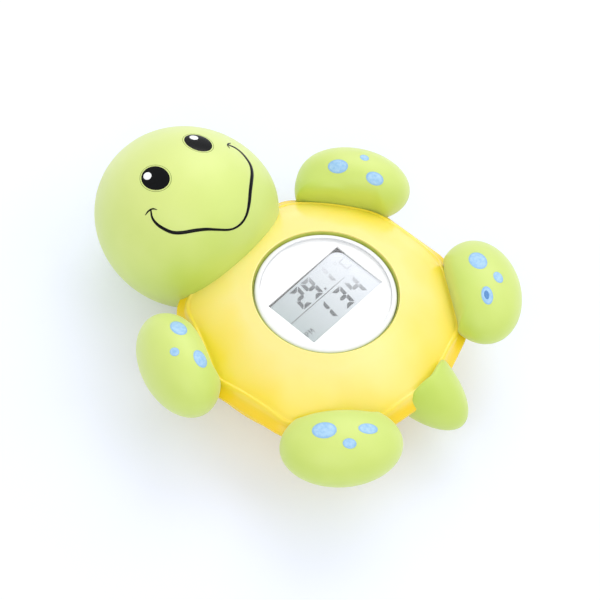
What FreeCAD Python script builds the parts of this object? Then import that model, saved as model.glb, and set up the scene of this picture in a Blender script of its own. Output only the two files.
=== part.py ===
import FreeCAD, Part
import math
import os
import Sketcher

# Floating pool and bath thermometer in the shape of a turtle.
# Frame: +X towards the head, +Y to the turtle's left, +Z up.
# The origin is on the floor, under the centre of the round display.

doc = FreeCAD.newDocument("turtle_thermometer")
Vec = FreeCAD.Vector
UP = Vec(0, 0, 1)

# ---------------------------------------------------------------- sizes, mm
SIZES = {
    # shell outline at the flange, half of it: the other half mirrors it
    "front_corner_x": 32.0,
    "front_corner_y": 23.0,
    "side_front_x": 9.0,
    "side_front_y": 37.0,
    "side_back_x": -15.0,
    "side_back_y": 35.7,
    "back_corner_x": -32.8,
    "back_corner_y": 20.0,
    "back_tip_x": -37.4,
    "corner_round": 10.0,
    # shell heights and walls
    "rim_height": 31.0,
    "hole_radius": 19.0,
    "dome_edge_radius": 34.4,
    "dome_edge_height": 22.5,
    "seam_height": 18.6,
    "flange_band": 0.9,
    "skirt_height": 1.5,
    "lip_inset": 2.7,
    "lip_round": 0.8,
    "shell_wall": 1.8,
    "seam_inset": 1.6,
    "base_radius": 21.0,
    "base_opening": 15.6,
    "base_depth": 4.0,
    "bowl_radius": 37.0,
    "bowl_bulge": 1.2,
    "socket_height": 15.0,
    "socket_wall": 1.6,
    "seal_width": 0.9,
    "seal_depth": 0.5,
    "seal_inset": 3.4,
    # screws that hold the two shells together
    "screw_x_front": 19.5,
    "screw_x_back": -19.5,
    "screw_y": 15.8,
    "screw_radius": 1.2,
    "screw_head_radius": 2.1,
    "screw_head_height": 1.6,
    "screw_seat": 9.0,
    "screw_length": 13.0,
    "boss_wall": 1.7,
    "boss_split": 15.4,
    # soft head, flippers and tail
    "head_x": 44.7,
    "head_length": 25.8,
    "head_radius": 23.4,
    "head_back_x": 22.6,
    "head_back_radius": 40.0,
    "head_wall": 2.4,
    "neck_radius": 5.0,
    "front_flipper_x": 18.0,
    "front_flipper_y": 37.7,
    "front_flipper_height": 22.8,
    "front_flipper_long": 15.2,
    "front_flipper_wide": 9.6,
    "front_flipper_thick": 9.6,
    "front_flipper_yaw": -26.5,
    "back_flipper_x": -28.4,
    "back_flipper_y": 30.4,
    "back_flipper_height": 23.2,
    "back_flipper_long": 16.0,
    "back_flipper_wide": 11.3,
    "back_flipper_thick": 8.0,
    "back_flipper_yaw": 45.0,
    "flipper_flatness": 1.15,
    "tail_x": -26.4,
    "tail_height": 19.2,
    "tail_long": 20.8,
    "tail_wide": 9.9,
    "tail_droop": 20.0,
    "tail_front_x": -33.0,
    "spigot_radius": 3.0,
    "spigot_length": 5.0,
    "limb_flare": 3.0,
    "limb_gap": 0.05,
    # seat of the display module
    "cradle_gap": 0.1,
    "cradle_flare": 0.35,
    "cradle_flange": 1.6,
    "cradle_flange_height": 1.5,
    # display module
    "module_radius": 18.45,
    "module_wall": 1.6,
    "module_floor": 3.0,
    "lens_sink": 0.5,
    "display_turn": -5.0,
    "module_chamfer": 0.8,
    "lens_thickness": 1.4,
    "lens_bevel": 0.8,
    "dial_thickness": 0.6,
    "window_length": 15.9,
    "window_width": 26.6,
    "lcd_length": 17.0,
    "lcd_width": 27.2,
    "lcd_thickness": 1.6,
    "lcd_gap": 0.1,
    "holder_thickness": 3.4,
    "strip_width": 1.8,
    "strip_length": 24.0,
    "strip_height": 3.9,
    "board_thickness": 1.0,
    "board_clearance": 0.3,
    "post_radius": 1.8,
    "post_circle": 14.0,
    "post_angle": 35.0,
    "board_screw_radius": 0.7,
    "board_screw_head": 1.4,
    "board_screw_length": 5.0,
    # push-buttons
    "button_circle": 13.0,
    "button_radius": 2.0,
    "button_clearance": 0.08,
    "button_stands_out": 1.1,
    "button_flange": 2.7,
    "button_flange_height": 0.9,
    "button_lift": 0.2,
    "button_stem": 1.2,
    "switch_side": 4.8,
    "switch_height": 3.4,
    "switch_stem": 0.8,
    "switch_stem_out": 0.6,
    "switch_cavity": 2.4,
    "boot_ring": 0.45,
    # battery compartment
    "cell_radius": 5.8,
    "cell_height": 5.4,
    "cell_base": 9.0,
    "cell_play": 0.25,
    "tube_wall": 1.0,
    "cover_radius": 7.4,
    "cover_clearance": 0.08,
    "cover_sink": 0.1,
    "cover_head": 1.3,
    "lug_reach": 1.1,
    "lug_height": 1.1,
    "lug_angle": 40.0,
    "lug_play": 0.15,
    "coin_slot_width": 1.7,
    "coin_slot_length": 11.0,
    "coin_slot_depth": 0.8,
    "cover_ring": 0.45,
    "contact_thickness": 0.3,
    "contact_width": 3.0,
    # temperature probe
    "probe_circle": 13.0,
    "probe_radius": 2.0,
    "probe_wall": 0.3,
    "probe_stands_out": 1.2,
    "probe_flange": 2.8,
    "bead_radius": 0.9,
    "lead_radius": 0.25,
    "lead_spread": 0.6,
    # parts on the board
    "chip_side": 7.0,
    "chip_height": 1.2,
    "crystal_radius": 1.0,
    "crystal_length": 6.0,
    "capacitor_length": 2.0,
    "capacitor_width": 1.2,
    "capacitor_height": 1.0,
    "capacitor_spread": 2.0,
    "capacitor_gap": 2.5,
    "crystal_gap": 3.0,
    "contact_hole": 2.0,
    "contact_gap": 0.05,
}
# heights that follow from others
FOLLOWING = {
    "module_top": "=rim_height - lens_sink - lens_thickness",
    "board_height": "=module_top - dial_thickness - lcd_gap - lcd_thickness - strip_height - board_thickness",
}
# longer than anything here: the reach of cutting shapes and of measuring rays
FAR = 3.0 * SIZES["side_front_y"]

sheet = doc.addObject("Spreadsheet::Sheet", "dims")
for row, (alias, value) in enumerate({**SIZES, **FOLLOWING}.items(), start=1):
    sheet.set(f"A{row}", alias)
    sheet.set(f"B{row}", str(value))
    sheet.setAlias(f"B{row}", alias)
doc.recompute()


def size(name):
    """One driving dimension, read from the sheet."""
    return float(getattr(sheet, name))


def worked_out(expression):
    """The number that an expression of sheet cells gives."""
    result = sheet.evalExpression(expression)
    return float(getattr(result, "Value", result))


# ------------------------------------------------------- building blocks
def origin_plane(body, role):
    for feature in body.Origin.OriginFeatures:
        if feature.Role == role:
            return feature
    raise ValueError(role)


def new_body(label, turn=0.0):
    body = doc.addObject("PartDesign::Body", label)
    body.Label = label
    body.Placement = FreeCAD.Placement(Vec(), FreeCAD.Rotation(UP, turn))
    return body


def new_sketch(body, name, plane, height=None):
    sketch = body.newObject("Sketcher::SketchObject", name)
    sketch.AttachmentSupport = [(origin_plane(body, plane), "")]
    sketch.MapMode = "FlatFace"
    if height is not None:
        sketch.setExpression("AttachmentOffset.Base.z", height)
    return sketch


def hold_point(sketch, geometry, position, across, along):
    """Tie a sketch point to two expressions, its distances from the origin."""
    for kind, expression in (("DistanceX", across), ("DistanceY", along)):
        value = worked_out(expression)
        index = sketch.addConstraint(Sketcher.Constraint(kind, -1, 1, geometry, position, value))
        sketch.setExpression(f"Constraints[{index}]", expression)


def draw_polygon(sketch, corners):
    """A closed outline whose corners are pairs of expressions."""
    places = [Vec(worked_out(across), worked_out(along), 0) for across, along in corners]
    count = len(places)
    first = sketch.GeometryCount
    for i in range(count):
        sketch.addGeometry(Part.LineSegment(places[i], places[(i + 1) % count]), False)
    for i in range(count):
        following = first + (i + 1) % count
        sketch.addConstraint(Sketcher.Constraint("Coincident", first + i, 2, following, 1))
    for i, (across, along) in enumerate(corners):
        hold_point(sketch, first + i, 1, across, along)


def draw_circle(sketch, across, along, radius):
    centre = Vec(worked_out(across), worked_out(along), 0)
    index = sketch.addGeometry(Part.Circle(centre, UP, worked_out(radius)), False)
    hold_point(sketch, index, 3, across, along)
    constraint = sketch.addConstraint(Sketcher.Constraint("Radius", index, worked_out(radius)))
    sketch.setExpression(f"Constraints[{constraint}]", radius)


def draw_rectangle(sketch, half_x, half_y, centre_x="0", centre_y="0"):
    low_x, high_x = f"{centre_x} - ({half_x})", f"{centre_x} + ({half_x})"
    low_y, high_y = f"{centre_y} - ({half_y})", f"{centre_y} + ({half_y})"
    draw_polygon(sketch, [(low_x, low_y), (high_x, low_y), (high_x, high_y), (low_x, high_y)])


def add_revolution(body, corners, name="profile"):
    """Turn a profile of (radius, height) expressions about the Z axis."""
    sketch = new_sketch(body, name, "XZ_Plane")
    draw_polygon(sketch, corners)
    feature = body.newObject("PartDesign::Revolution", name + "_turned")
    feature.Profile = sketch
    feature.ReferenceAxis = (sketch, ["V_Axis"])
    feature.Angle = 360
    return feature


def add_pad(body, sketch, length):
    feature = body.newObject("PartDesign::Pad", sketch.Name + "_pad")
    feature.Profile = sketch
    feature.setExpression("Length", length)
    return feature


def add_pocket(body, sketch, depth):
    """Cut upwards from the sketch plane."""
    feature = body.newObject("PartDesign::Pocket", sketch.Name + "_pocket")
    feature.Profile = sketch
    feature.Reversed = True
    feature.setExpression("Length", depth)
    return feature


def part_feature(label, shape):
    feature = doc.addObject("Part::Feature", label)
    feature.Label = label
    feature.Shape = shape
    feature.Placement = FreeCAD.Placement()
    return feature


# ------------------------------------------------------ shell outline
def shell_outline():
    """Corners of the flange, anticlockwise from the front right one."""
    left = [
        (size("front_corner_x"), size("front_corner_y")),
        (size("side_front_x"), size("side_front_y")),
        (size("side_back_x"), size("side_back_y")),
        (size("back_corner_x"), size("back_corner_y")),
    ]
    right = [(x, -y) for x, y in reversed(left)]
    return left + [(size("back_tip_x"), 0.0)] + right


def inset_polygon(corners, distance):
    """Move every side of an anticlockwise polygon inwards."""
    moved = []
    count = len(corners)
    for i in range(count):
        (ax, ay), (bx, by) = corners[i], corners[(i + 1) % count]
        length = math.hypot(bx - ax, by - ay)
        inward = (-(by - ay) / length, (bx - ax) / length)
        moved.append(((ax + inward[0] * distance, ay + inward[1] * distance), (bx - ax, by - ay)))
    result = []
    for i in range(count):
        (px, py), (ux, uy) = moved[i - 1]
        (qx, qy), (vx, vy) = moved[i]
        along = ((qx - px) * vy - (qy - py) * vx) / (ux * vy - uy * vx)
        result.append((px + ux * along, py + uy * along))
    return result


def rounded_wire(corners, radius, height):
    """A flat closed wire with an arc at every corner."""
    edges = []
    starts, ends, middles = [], [], []
    count = len(corners)
    for i in range(count):
        here = Vec(*corners[i], height)
        back = (Vec(*corners[i - 1], height) - here).normalize()
        on = (Vec(*corners[(i + 1) % count], height) - here).normalize()
        half = back.getAngle(on) / 2
        reach = radius / math.tan(half)
        inward = (back + on).normalize()
        starts.append(here + back * reach)
        ends.append(here + on * reach)
        middles.append(here + inward * (radius / math.sin(half) - radius))
    for i in range(count):
        edges.append(Part.Arc(starts[i], middles[i], ends[i]).toShape())
        edges.append(Part.makeLine(ends[i], starts[(i + 1) % count]))
    return Part.Wire(edges)


def outline_wire(inset, height):
    radius = max(size("corner_round") - inset, 1.0)
    return rounded_wire(inset_polygon(shell_outline(), inset), radius, height)


def prism(inset, low, high):
    face = Part.Face(outline_wire(inset, low))
    return face.extrude(UP * (high - low))


def cylinder(radius, low, high, x=0.0, y=0.0):
    return Part.makeCylinder(radius, high - low, Vec(x, y, low))


def dome_ball(thinner=0.0):
    """The ball that the dome is cut from; it passes through the rim of the hole and the lip."""
    rim, edge = size("rim_height"), size("dome_edge_height")
    reach = size("dome_edge_radius") ** 2 - size("hole_radius") ** 2
    centre = (reach + edge ** 2 - rim ** 2) / (2 * (edge - rim))
    radius = math.hypot(size("hole_radius"), rim - centre)
    return Part.makeSphere(radius - thinner, Vec(0, 0, centre))


def bowl(thinner=0.0):
    """The round underside, from the base ring out to the seam, with a curved flank."""
    seam = size("seam_height")
    wide = size("bowl_radius") - thinner
    low = Vec(size("base_radius") - thinner, 0, thinner)
    high = Vec(wide, 0, seam)
    chord = high - low
    outward = Vec(chord.z, 0, -chord.x).normalize()
    middle = low + chord * 0.5 + outward * size("bowl_bulge")
    flank = Part.Arc(low, middle, high).toShape()
    top = Part.makeLine(high, Vec(0, 0, seam))
    axis = Part.makeLine(Vec(0, 0, seam), Vec(0, 0, thinner))
    floor = Part.makeLine(Vec(0, 0, thinner), low)
    face = Part.Face(Part.Wire([flank, top, axis, floor]))
    return face.revolve(Vec(0, 0, 0), UP, 360)


SEAM = size("seam_height")
TOP = size("rim_height") + 6.0
LIP_BASE = SEAM + size("flange_band") + size("skirt_height")
WALL = size("shell_wall")
SCREW_PLACES = [
    (size("screw_x_front"), size("screw_y")),
    (size("screw_x_front"), -size("screw_y")),
    (size("screw_x_back"), size("screw_y")),
    (size("screw_x_back"), -size("screw_y")),
]
BOSS_RADIUS = size("screw_head_radius") + size("boss_wall")


def top_shell_outside():
    flange = prism(0.0, SEAM, SEAM + size("flange_band"))
    skirt = Part.makeLoft(
        [
            outline_wire(0.0, SEAM + size("flange_band")),
            outline_wire(size("lip_inset"), LIP_BASE),
        ],
        True,
        True,
    )
    cap = prism(size("lip_inset"), LIP_BASE, TOP).common(dome_ball())
    edge = [e for e in cap.Edges if on_dome_edge(e)]
    cap = cap.makeFillet(size("lip_round"), edge)
    return flange.fuse(skirt).fuse(cap).removeSplitter()


def on_dome_edge(edge):
    """True for the edges where the dome meets the upright wall of the lip."""
    low = edge.BoundBox.ZMin > LIP_BASE + 0.2
    upright = edge.BoundBox.ZLength > 0.9 * edge.Length
    return low and not upright


def bottom_shell_outside():
    return bowl().common(prism(size("seam_inset"), 0.0, SEAM))


top_outside = top_shell_outside()
bottom_outside = bottom_shell_outside()
shell_outside = [top_outside, bottom_outside]


# ------------------------------------------------------------- the shells
def seal_groove():
    low = SEAM - size("seal_depth")
    high = SEAM + size("seal_depth")
    outer = prism(size("seal_inset"), low, high)
    return outer.cut(prism(size("seal_inset") + size("seal_width"), low - 1, high + 1))


def limb_spigots(clearance=0.0):
    """Round necks of the four flippers, the tail and the head, lying in the seam plane."""
    places = [
        (limb_place("front", 1), size("spigot_radius")),
        (limb_place("front", -1), size("spigot_radius")),
        (limb_place("back", 1), size("spigot_radius")),
        (limb_place("back", -1), size("spigot_radius")),
        (Vec(size("back_tip_x"), 0, 0), size("spigot_radius")),
        (Vec(size("front_corner_x"), 0, 0), size("neck_radius")),
    ]
    return [spigot(place, radius + clearance) for place, radius in places]


def limb_place(end, side):
    return Vec(size(f"{end}_flipper_x"), side * size(f"{end}_flipper_y"), 0)


def spigot(place, radius):
    """A cylinder from the shell's flank inwards, aimed at the display's axis."""
    outward = Vec(place.x, place.y, 0).normalize()
    flank = flank_distance(outward)
    start = outward * (flank - size("spigot_length")) + UP * SEAM
    return Part.makeCylinder(radius, size("spigot_length") + 2.0, start, outward)


def flank_distance(outward):
    """How far the flange reaches from the axis in one direction."""
    ray = Part.makeLine(Vec(0, 0, SEAM), outward * FAR + UP * SEAM)
    return Part.Face(outline_wire(0.0, SEAM)).common(ray).BoundBox.DiagonalLength


def make_top_shell():
    shell = top_outside
    room = prism(size("lip_inset") + WALL, SEAM - 1, TOP).common(dome_ball(WALL))
    shell = shell.cut(room)
    bosses = []
    for x, y in SCREW_PLACES:
        bosses.append(cylinder(BOSS_RADIUS, size("boss_split"), TOP, x, y).common(dome_ball(WALL - 0.2)))
    shell = shell.fuse(bosses)
    shell = shell.cut(cylinder(size("hole_radius"), SEAM - 1, TOP))
    for x, y in SCREW_PLACES:
        top = size("screw_seat") + size("screw_length")
        shell = shell.cut(cylinder(size("screw_radius") - 0.1, size("boss_split") - 1, top + 0.5, x, y))
    shell = shell.cut([seal_groove()] + limb_spigots())
    return shell


def make_bottom_shell():
    shell = bottom_outside
    room = bowl(WALL).common(prism(size("seam_inset") + WALL + 1.2, 0.0, SEAM + 1))
    socket_radius = size("hole_radius") + size("cradle_flange") + size("socket_wall")
    inner = cylinder(socket_radius, -1, size("socket_height"))
    shell = shell.cut(room.cut(inner))
    bosses = []
    for x, y in SCREW_PLACES:
        bosses.append(cylinder(BOSS_RADIUS, 0, size("boss_split"), x, y).common(bowl(0.3)))
    shell = shell.fuse(bosses)
    shell = shell.cut(cylinder(size("module_radius") + size("cradle_gap"), size("base_depth"), TOP))
    shell = shell.cut(cylinder(size("base_opening"), -1, size("base_depth") + 1))
    for x, y in SCREW_PLACES:
        shell = shell.cut(cylinder(size("screw_head_radius") + 0.3, -1, size("screw_seat"), x, y))
        shell = shell.cut(cylinder(size("screw_radius") + 0.2, 0, size("boss_split") + 1, x, y))
    shell = shell.cut([seal_groove()] + limb_spigots())
    return shell


# ------------------------------------------------- head, flippers and tail
def oval(half_length, radius):
    """Half a round oval on the X axis: two ends struck from one radius, a flank from another."""
    tip = radius * radius / half_length
    tip += (radius - tip) * 0.15
    flank = ((half_length - tip) ** 2 + radius ** 2 - tip ** 2) / (2 * (radius - tip))
    tip_centre = Vec(half_length - tip, 0, 0)
    flank_centre = Vec(0, radius - flank, 0)
    toward = (tip_centre - flank_centre).normalize()
    if tip > flank:
        toward = -toward
    joint = tip_centre + toward * tip
    halfway = (Vec(1, 0, 0) + toward).normalize()
    knee = tip_centre + halfway * tip
    across = [Vec(-point.x, point.y, 0) for point in (joint, knee)]
    front = Part.Arc(Vec(half_length, 0, 0), knee, joint).toShape()
    crown = Part.Arc(joint, Vec(0, radius, 0), across[0]).toShape()
    back = Part.Arc(across[0], across[1], Vec(-half_length, 0, 0)).toShape()
    axis = Part.makeLine(Vec(-half_length, 0, 0), Vec(half_length, 0, 0))
    return Part.Face(Part.Wire([front, crown, back, axis]))


def spheroid(half_length, radius):
    return oval(half_length, radius).revolve(Vec(0, 0, 0), Vec(1, 0, 0), 360)


def placed(shape, place, axis=UP, angle=0.0):
    shape.Placement = FreeCAD.Placement(place, FreeCAD.Rotation(axis, angle)).multiply(shape.Placement)
    return shape


def limb_trimmer():
    """The room that the shell takes from a limb: flange, skirt and lip, opening out above it."""
    gap = size("limb_gap")
    levels = [
        (-gap, -1.0),
        (-gap, SEAM + size("flange_band") + gap),
        (size("lip_inset") - gap, LIP_BASE + gap),
        (size("lip_inset") - size("limb_flare"), TOP),
    ]
    return Part.makeLoft([outline_wire(inset, height) for inset, height in levels], True, True)


def make_flipper(end, side):
    """A pebble: a long egg, flattened above and below by a wide low one."""
    long, wide = size(f"{end}_flipper_long"), size(f"{end}_flipper_wide")
    thick = size(f"{end}_flipper_thick")
    place = limb_place(end, 1) + UP * size(f"{end}_flipper_height")
    egg = placed(spheroid(long, wide), Vec(), Vec(1, 0, 0), 180)
    egg = placed(egg, place, UP, size(f"{end}_flipper_yaw"))
    if thick < wide:
        flat = placed(spheroid(thick, long * size("flipper_flatness")), Vec(), Vec(0, 1, 0), 90)
        egg = egg.common(placed(flat, place))
    egg = egg.cut(limb_trimmer())
    if side < 0:
        egg = egg.mirror(Vec(0, 0, 0), Vec(0, 1, 0))
    return egg.fuse(spigot(limb_place(end, side), size("spigot_radius")))


def make_tail():
    body = spheroid(size("tail_long"), size("tail_wide"))
    place = Vec(size("tail_x"), 0, size("tail_height"))
    body = placed(body, place, Vec(0, 1, 0), -size("tail_droop"))
    behind = Part.makeBox(FAR, 2 * FAR, 2 * FAR, Vec(size("tail_front_x") - FAR, -FAR, -FAR))
    body = body.common(behind).cut(limb_trimmer())
    return body.fuse(spigot(Vec(size("back_tip_x"), 0, 0), size("spigot_radius")))


def head_ball(thinner=0.0):
    """An egg lying on its side, blunt at the back where it meets the shell."""
    profile = oval(size("head_length") - thinner, size("head_radius") - thinner)
    back_centre = Vec(size("head_back_x") + size("head_back_radius") - size("head_x"), 0, 0)
    circle = Part.makeCircle(size("head_back_radius") - thinner, back_centre)
    profile = profile.common(Part.Face(Part.Wire([circle])))
    half = profile.revolve(Vec(0, 0, 0), Vec(1, 0, 0), 180)
    half = half.Solids[0] if half.Solids else Part.Solid(half.Shells[0])
    egg = half.fuse(half.mirror(Vec(0, 0, 0), UP))
    return placed(egg, Vec(size("head_x"), 0, size("head_radius")))


def make_head():
    wall = size("head_wall")
    ahead = Part.makeBox(FAR, 2 * FAR, 2 * FAR, Vec(size("front_corner_x") + wall, -FAR, -FAR))
    hollow = head_ball().cut(head_ball(wall).common(ahead)).cut(shell_outside)
    return hollow.fuse(spigot(Vec(size("front_corner_x"), 0, 0), size("neck_radius")))


soft_pieces = {
    "top_shell": make_top_shell,
    "bottom_shell": make_bottom_shell,
    "head": make_head,
    "front_left_flipper": lambda: make_flipper("front", 1),
    "front_right_flipper": lambda: make_flipper("front", -1),
    "back_left_flipper": lambda: make_flipper("back", 1),
    "back_right_flipper": lambda: make_flipper("back", -1),
    "tail": make_tail,
    "shell_seal": lambda: seal_groove().cut(limb_spigots(0.3)),
}
for label, make in soft_pieces.items():
    part_feature(label, make())


# ------------------------------------------------------ seat of the module
def make_cradle():
    body = new_body("display_cradle")
    inner = "dims.module_radius + dims.cradle_gap"
    rim = "dims.hole_radius - 0.1"
    flange = "dims.hole_radius + dims.cradle_flange"
    under_dome = "dims.rim_height - dims.shell_wall - 1.0"
    add_revolution(
        body,
        [
            (inner, "dims.socket_height"),
            (flange, "dims.socket_height"),
            (flange, f"{under_dome} - dims.cradle_flange_height"),
            (rim, under_dome),
            (rim, "dims.rim_height - 0.3"),
            (f"{inner} + dims.cradle_flare - 0.1", "dims.rim_height - 0.3"),
            (inner, "dims.module_top"),
        ],
    )
    return body


# -------------------------------------------------------- display module
MODULE_BASE = "dims.base_depth"
FLOOR_TOP = "dims.base_depth + dims.module_floor"
BOARD_LOW = "dims.board_height"
BOARD_TOP = "dims.board_height + dims.board_thickness"
LENS_LOW = "dims.module_top"
DIAL_LOW = "dims.module_top - dims.dial_thickness"
LCD_TOP = "dims.module_top - dims.dial_thickness - dims.lcd_gap"
LCD_LOW = "dims.module_top - dims.dial_thickness - dims.lcd_gap - dims.lcd_thickness"
COVER_BORE = "dims.cover_radius + dims.cover_clearance"
LUG_ROOM = "dims.cover_radius + dims.lug_reach + 0.2"
LUG_TOP = "dims.base_depth + dims.module_floor + dims.lug_height + 2 * dims.lug_play"
TUBE_INNER = "dims.cell_radius + dims.cell_play"
POSTS = [
    (math.cos(turn) * size("post_circle"), math.sin(turn) * size("post_circle"))
    for turn in (math.radians(base + sign * size("post_angle")) for base in (0, 180) for sign in (1, -1))
]


def make_housing():
    body = new_body("module_housing")
    outer = "dims.module_radius"
    inner = "dims.module_radius - dims.module_wall"
    seat = "dims.module_radius - 1.2"
    tube_outer = f"{LUG_ROOM} + dims.tube_wall"
    add_revolution(
        body,
        [
            (COVER_BORE, MODULE_BASE),
            (f"{outer} - dims.module_chamfer", MODULE_BASE),
            (outer, f"{MODULE_BASE} + dims.module_chamfer"),
            (outer, "dims.module_top"),
            (seat, "dims.module_top"),
            (seat, DIAL_LOW),
            (inner, DIAL_LOW),
            (inner, FLOOR_TOP),
            (tube_outer, FLOOR_TOP),
            (tube_outer, f"{LUG_TOP} + dims.tube_wall"),
            (f"{TUBE_INNER} + dims.tube_wall", f"{LUG_TOP} + dims.tube_wall"),
            (f"{TUBE_INNER} + dims.tube_wall", "dims.board_height - dims.board_clearance - 1.0"),
            (TUBE_INNER, "dims.board_height - dims.board_clearance - 1.0"),
            (TUBE_INNER, LUG_TOP),
            (LUG_ROOM, LUG_TOP),
            (LUG_ROOM, FLOOR_TOP),
            (COVER_BORE, FLOOR_TOP),
        ],
    )
    posts = new_sketch(body, "posts", "XY_Plane", f"{FLOOR_TOP} - 0.5")
    for x, y in POSTS:
        draw_circle(posts, f"{x}", f"{y}", "dims.post_radius")
    add_pad(body, posts, "dims.board_height - dims.base_depth - dims.module_floor + 0.5")
    pilots = new_sketch(body, "pilot_holes", "XY_Plane", "dims.board_height - dims.board_screw_length")
    for x, y in POSTS:
        draw_circle(pilots, f"{x}", f"{y}", "dims.board_screw_radius")
    add_pocket(body, pilots, "dims.board_screw_length + 1")
    holes = new_sketch(body, "button_holes", "XY_Plane", f"{MODULE_BASE} - 1")
    for sign in ("", "-"):
        draw_circle(holes, "0", f"{sign}dims.button_circle", "dims.button_radius + dims.button_clearance")
    add_pocket(body, holes, "dims.module_floor + 2")
    wells = new_sketch(body, "seal_wells", "XY_Plane", f"{FLOOR_TOP} - 2.2 * dims.boot_ring")
    for sign in ("", "-"):
        draw_circle(wells, "0", f"{sign}dims.button_circle", "dims.button_radius + 2.4 * dims.boot_ring")
    add_pocket(body, wells, "3 * dims.boot_ring")
    probe = new_sketch(body, "probe_hole", "XY_Plane", f"{MODULE_BASE} - 1")
    draw_circle(probe, "-dims.probe_circle", "0", "dims.probe_radius")
    add_pocket(body, probe, "dims.module_floor + 2")
    entries = new_sketch(body, "lug_entries", "XY_Plane", f"{MODULE_BASE} - 1")
    entry_corners(entries)
    add_pocket(body, entries, "dims.module_floor + 2")
    return body


def entry_corners(sketch):
    """Two wedge-shaped notches, a quarter turn away from the locked lugs."""
    reach = size("cover_radius") + size("lug_reach") + size("lug_play")
    half = math.radians(size("lug_angle") / 2 + 4)
    for side in (1, -1):
        corners = []
        for radius, turn in ((4.0, -half), (reach / math.cos(half), -half), (reach / math.cos(half), half), (4.0, half)):
            corners.append((f"{-radius * math.sin(turn) * side}", f"{radius * math.cos(turn) * side}"))
        draw_polygon(sketch, corners)


def make_lens():
    body = new_body("display_lens")
    edge = "dims.module_radius"
    add_revolution(
        body,
        [
            ("0", LENS_LOW),
            (edge, LENS_LOW),
            (edge, f"{LENS_LOW} + dims.lens_thickness - dims.lens_bevel * 0.6"),
            (f"{edge} - dims.lens_bevel", f"{LENS_LOW} + dims.lens_thickness"),
            ("0", f"{LENS_LOW} + dims.lens_thickness"),
        ],
    )
    return body


def make_dial():
    body = new_body("dial_plate", size("display_turn"))
    disc = new_sketch(body, "disc", "XY_Plane", DIAL_LOW)
    draw_circle(disc, "0", "0", "dims.module_radius - 1.3")
    add_pad(body, disc, "dims.dial_thickness")
    window = new_sketch(body, "window", "XY_Plane", f"{DIAL_LOW} - 1")
    draw_rectangle(window, "dims.window_length / 2", "dims.window_width / 2")
    add_pocket(body, window, "dims.dial_thickness + 2")
    return body


def make_block(label, half_x, half_y, low, height, centres=(("0", "0"),), turn=0.0):
    """Upright blocks of one size, as one body for each centre."""
    blocks = []
    for centre_x, centre_y in centres:
        body = new_body(label if len(centres) == 1 else f"{label}_{len(blocks) + 1}", turn)
        sketch = new_sketch(body, "section", "XY_Plane", low)
        draw_rectangle(sketch, half_x, half_y, centre_x, centre_y)
        add_pad(body, sketch, height)
        blocks.append(body)
    return group(label, blocks)


def group(label, bodies):
    """Several equal loose pieces kept under one name."""
    if len(bodies) == 1:
        return bodies[0]
    together = doc.addObject("Part::Compound", label + "_group")
    together.Label = label
    together.Links = bodies
    for body in bodies:
        loose.append(body)
    return together


loose = []


def make_holder():
    body = new_body("lcd_holder", size("display_turn"))
    disc = new_sketch(body, "disc", "XY_Plane", f"{DIAL_LOW} - dims.holder_thickness")
    draw_circle(disc, "0", "0", "dims.module_radius - dims.module_wall - 0.1")
    add_pad(body, disc, "dims.holder_thickness")
    opening = new_sketch(body, "opening", "XY_Plane", f"{DIAL_LOW} - dims.holder_thickness - 1")
    draw_rectangle(opening, "dims.lcd_length / 2 + 0.1", "dims.lcd_width / 2 + 0.1")
    add_pocket(body, opening, "dims.holder_thickness + 2")
    return body


def make_board():
    body = new_body("circuit_board")
    disc = new_sketch(body, "disc", "XY_Plane", BOARD_LOW)
    draw_circle(disc, "0", "0", "dims.module_radius - dims.module_wall - 0.4")
    add_pad(body, disc, "dims.board_thickness")
    holes = new_sketch(body, "screw_holes", "XY_Plane", f"{BOARD_LOW} - 1")
    for x, y in POSTS:
        draw_circle(holes, f"{x}", f"{y}", "dims.board_screw_radius + 0.1")
    add_pocket(body, holes, "dims.board_thickness + 2")
    return body


def make_screws(label, places, shaft, head, head_height, seat, length, upwards):
    """Round-headed screws; the head's flat seat is at one height."""
    screws = []
    for i, (x, y) in enumerate(places):
        body = new_body(f"{label}_{i + 1}")
        sign = "+" if upwards else "-"
        back = "-" if upwards else "+"
        add_revolution(
            body,
            [
                ("0", f"{seat} {back} {head_height}"),
                (f"{head} * 0.7", f"{seat} {back} {head_height}"),
                (head, f"{seat} {back} {head_height} * 0.5"),
                (head, seat),
                (shaft, seat),
                (shaft, f"{seat} {sign} {length} {back} {shaft}"),
                ("0", f"{seat} {sign} {length}"),
            ],
        )
        body.Placement = FreeCAD.Placement(Vec(x, y, 0), FreeCAD.Rotation())
        screws.append(body)
    return group(label, screws)


def make_button(label, side):
    body = new_body(label)
    foot = f"{FLOOR_TOP} + dims.button_lift"
    add_revolution(
        body,
        [
            ("0", f"{MODULE_BASE} - dims.button_stands_out"),
            ("dims.button_radius - 0.4", f"{MODULE_BASE} - dims.button_stands_out"),
            ("dims.button_radius", f"{MODULE_BASE} - dims.button_stands_out + 0.4"),
            ("dims.button_radius", foot),
            ("dims.button_flange", foot),
            ("dims.button_flange", f"{foot} + dims.button_flange_height"),
            ("dims.button_stem", f"{foot} + dims.button_flange_height"),
            ("dims.button_stem", f"{BOARD_LOW} - dims.switch_height - dims.switch_stem_out"),
            ("0", f"{BOARD_LOW} - dims.switch_height - dims.switch_stem_out"),
        ],
    )
    body.Placement = FreeCAD.Placement(Vec(0, side * size("button_circle"), 0), FreeCAD.Rotation())
    return body


def make_switch_stem(label, side):
    body = new_body(label)
    low = f"{BOARD_LOW} - dims.switch_height - dims.switch_stem_out"
    disc = new_sketch(body, "stem", "XY_Plane", low)
    draw_circle(disc, "0", "0", "dims.switch_stem")
    add_pad(body, disc, "dims.switch_stem_out + 1.0")
    body.Placement = FreeCAD.Placement(Vec(0, side * size("button_circle"), 0), FreeCAD.Rotation())
    return body


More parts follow.
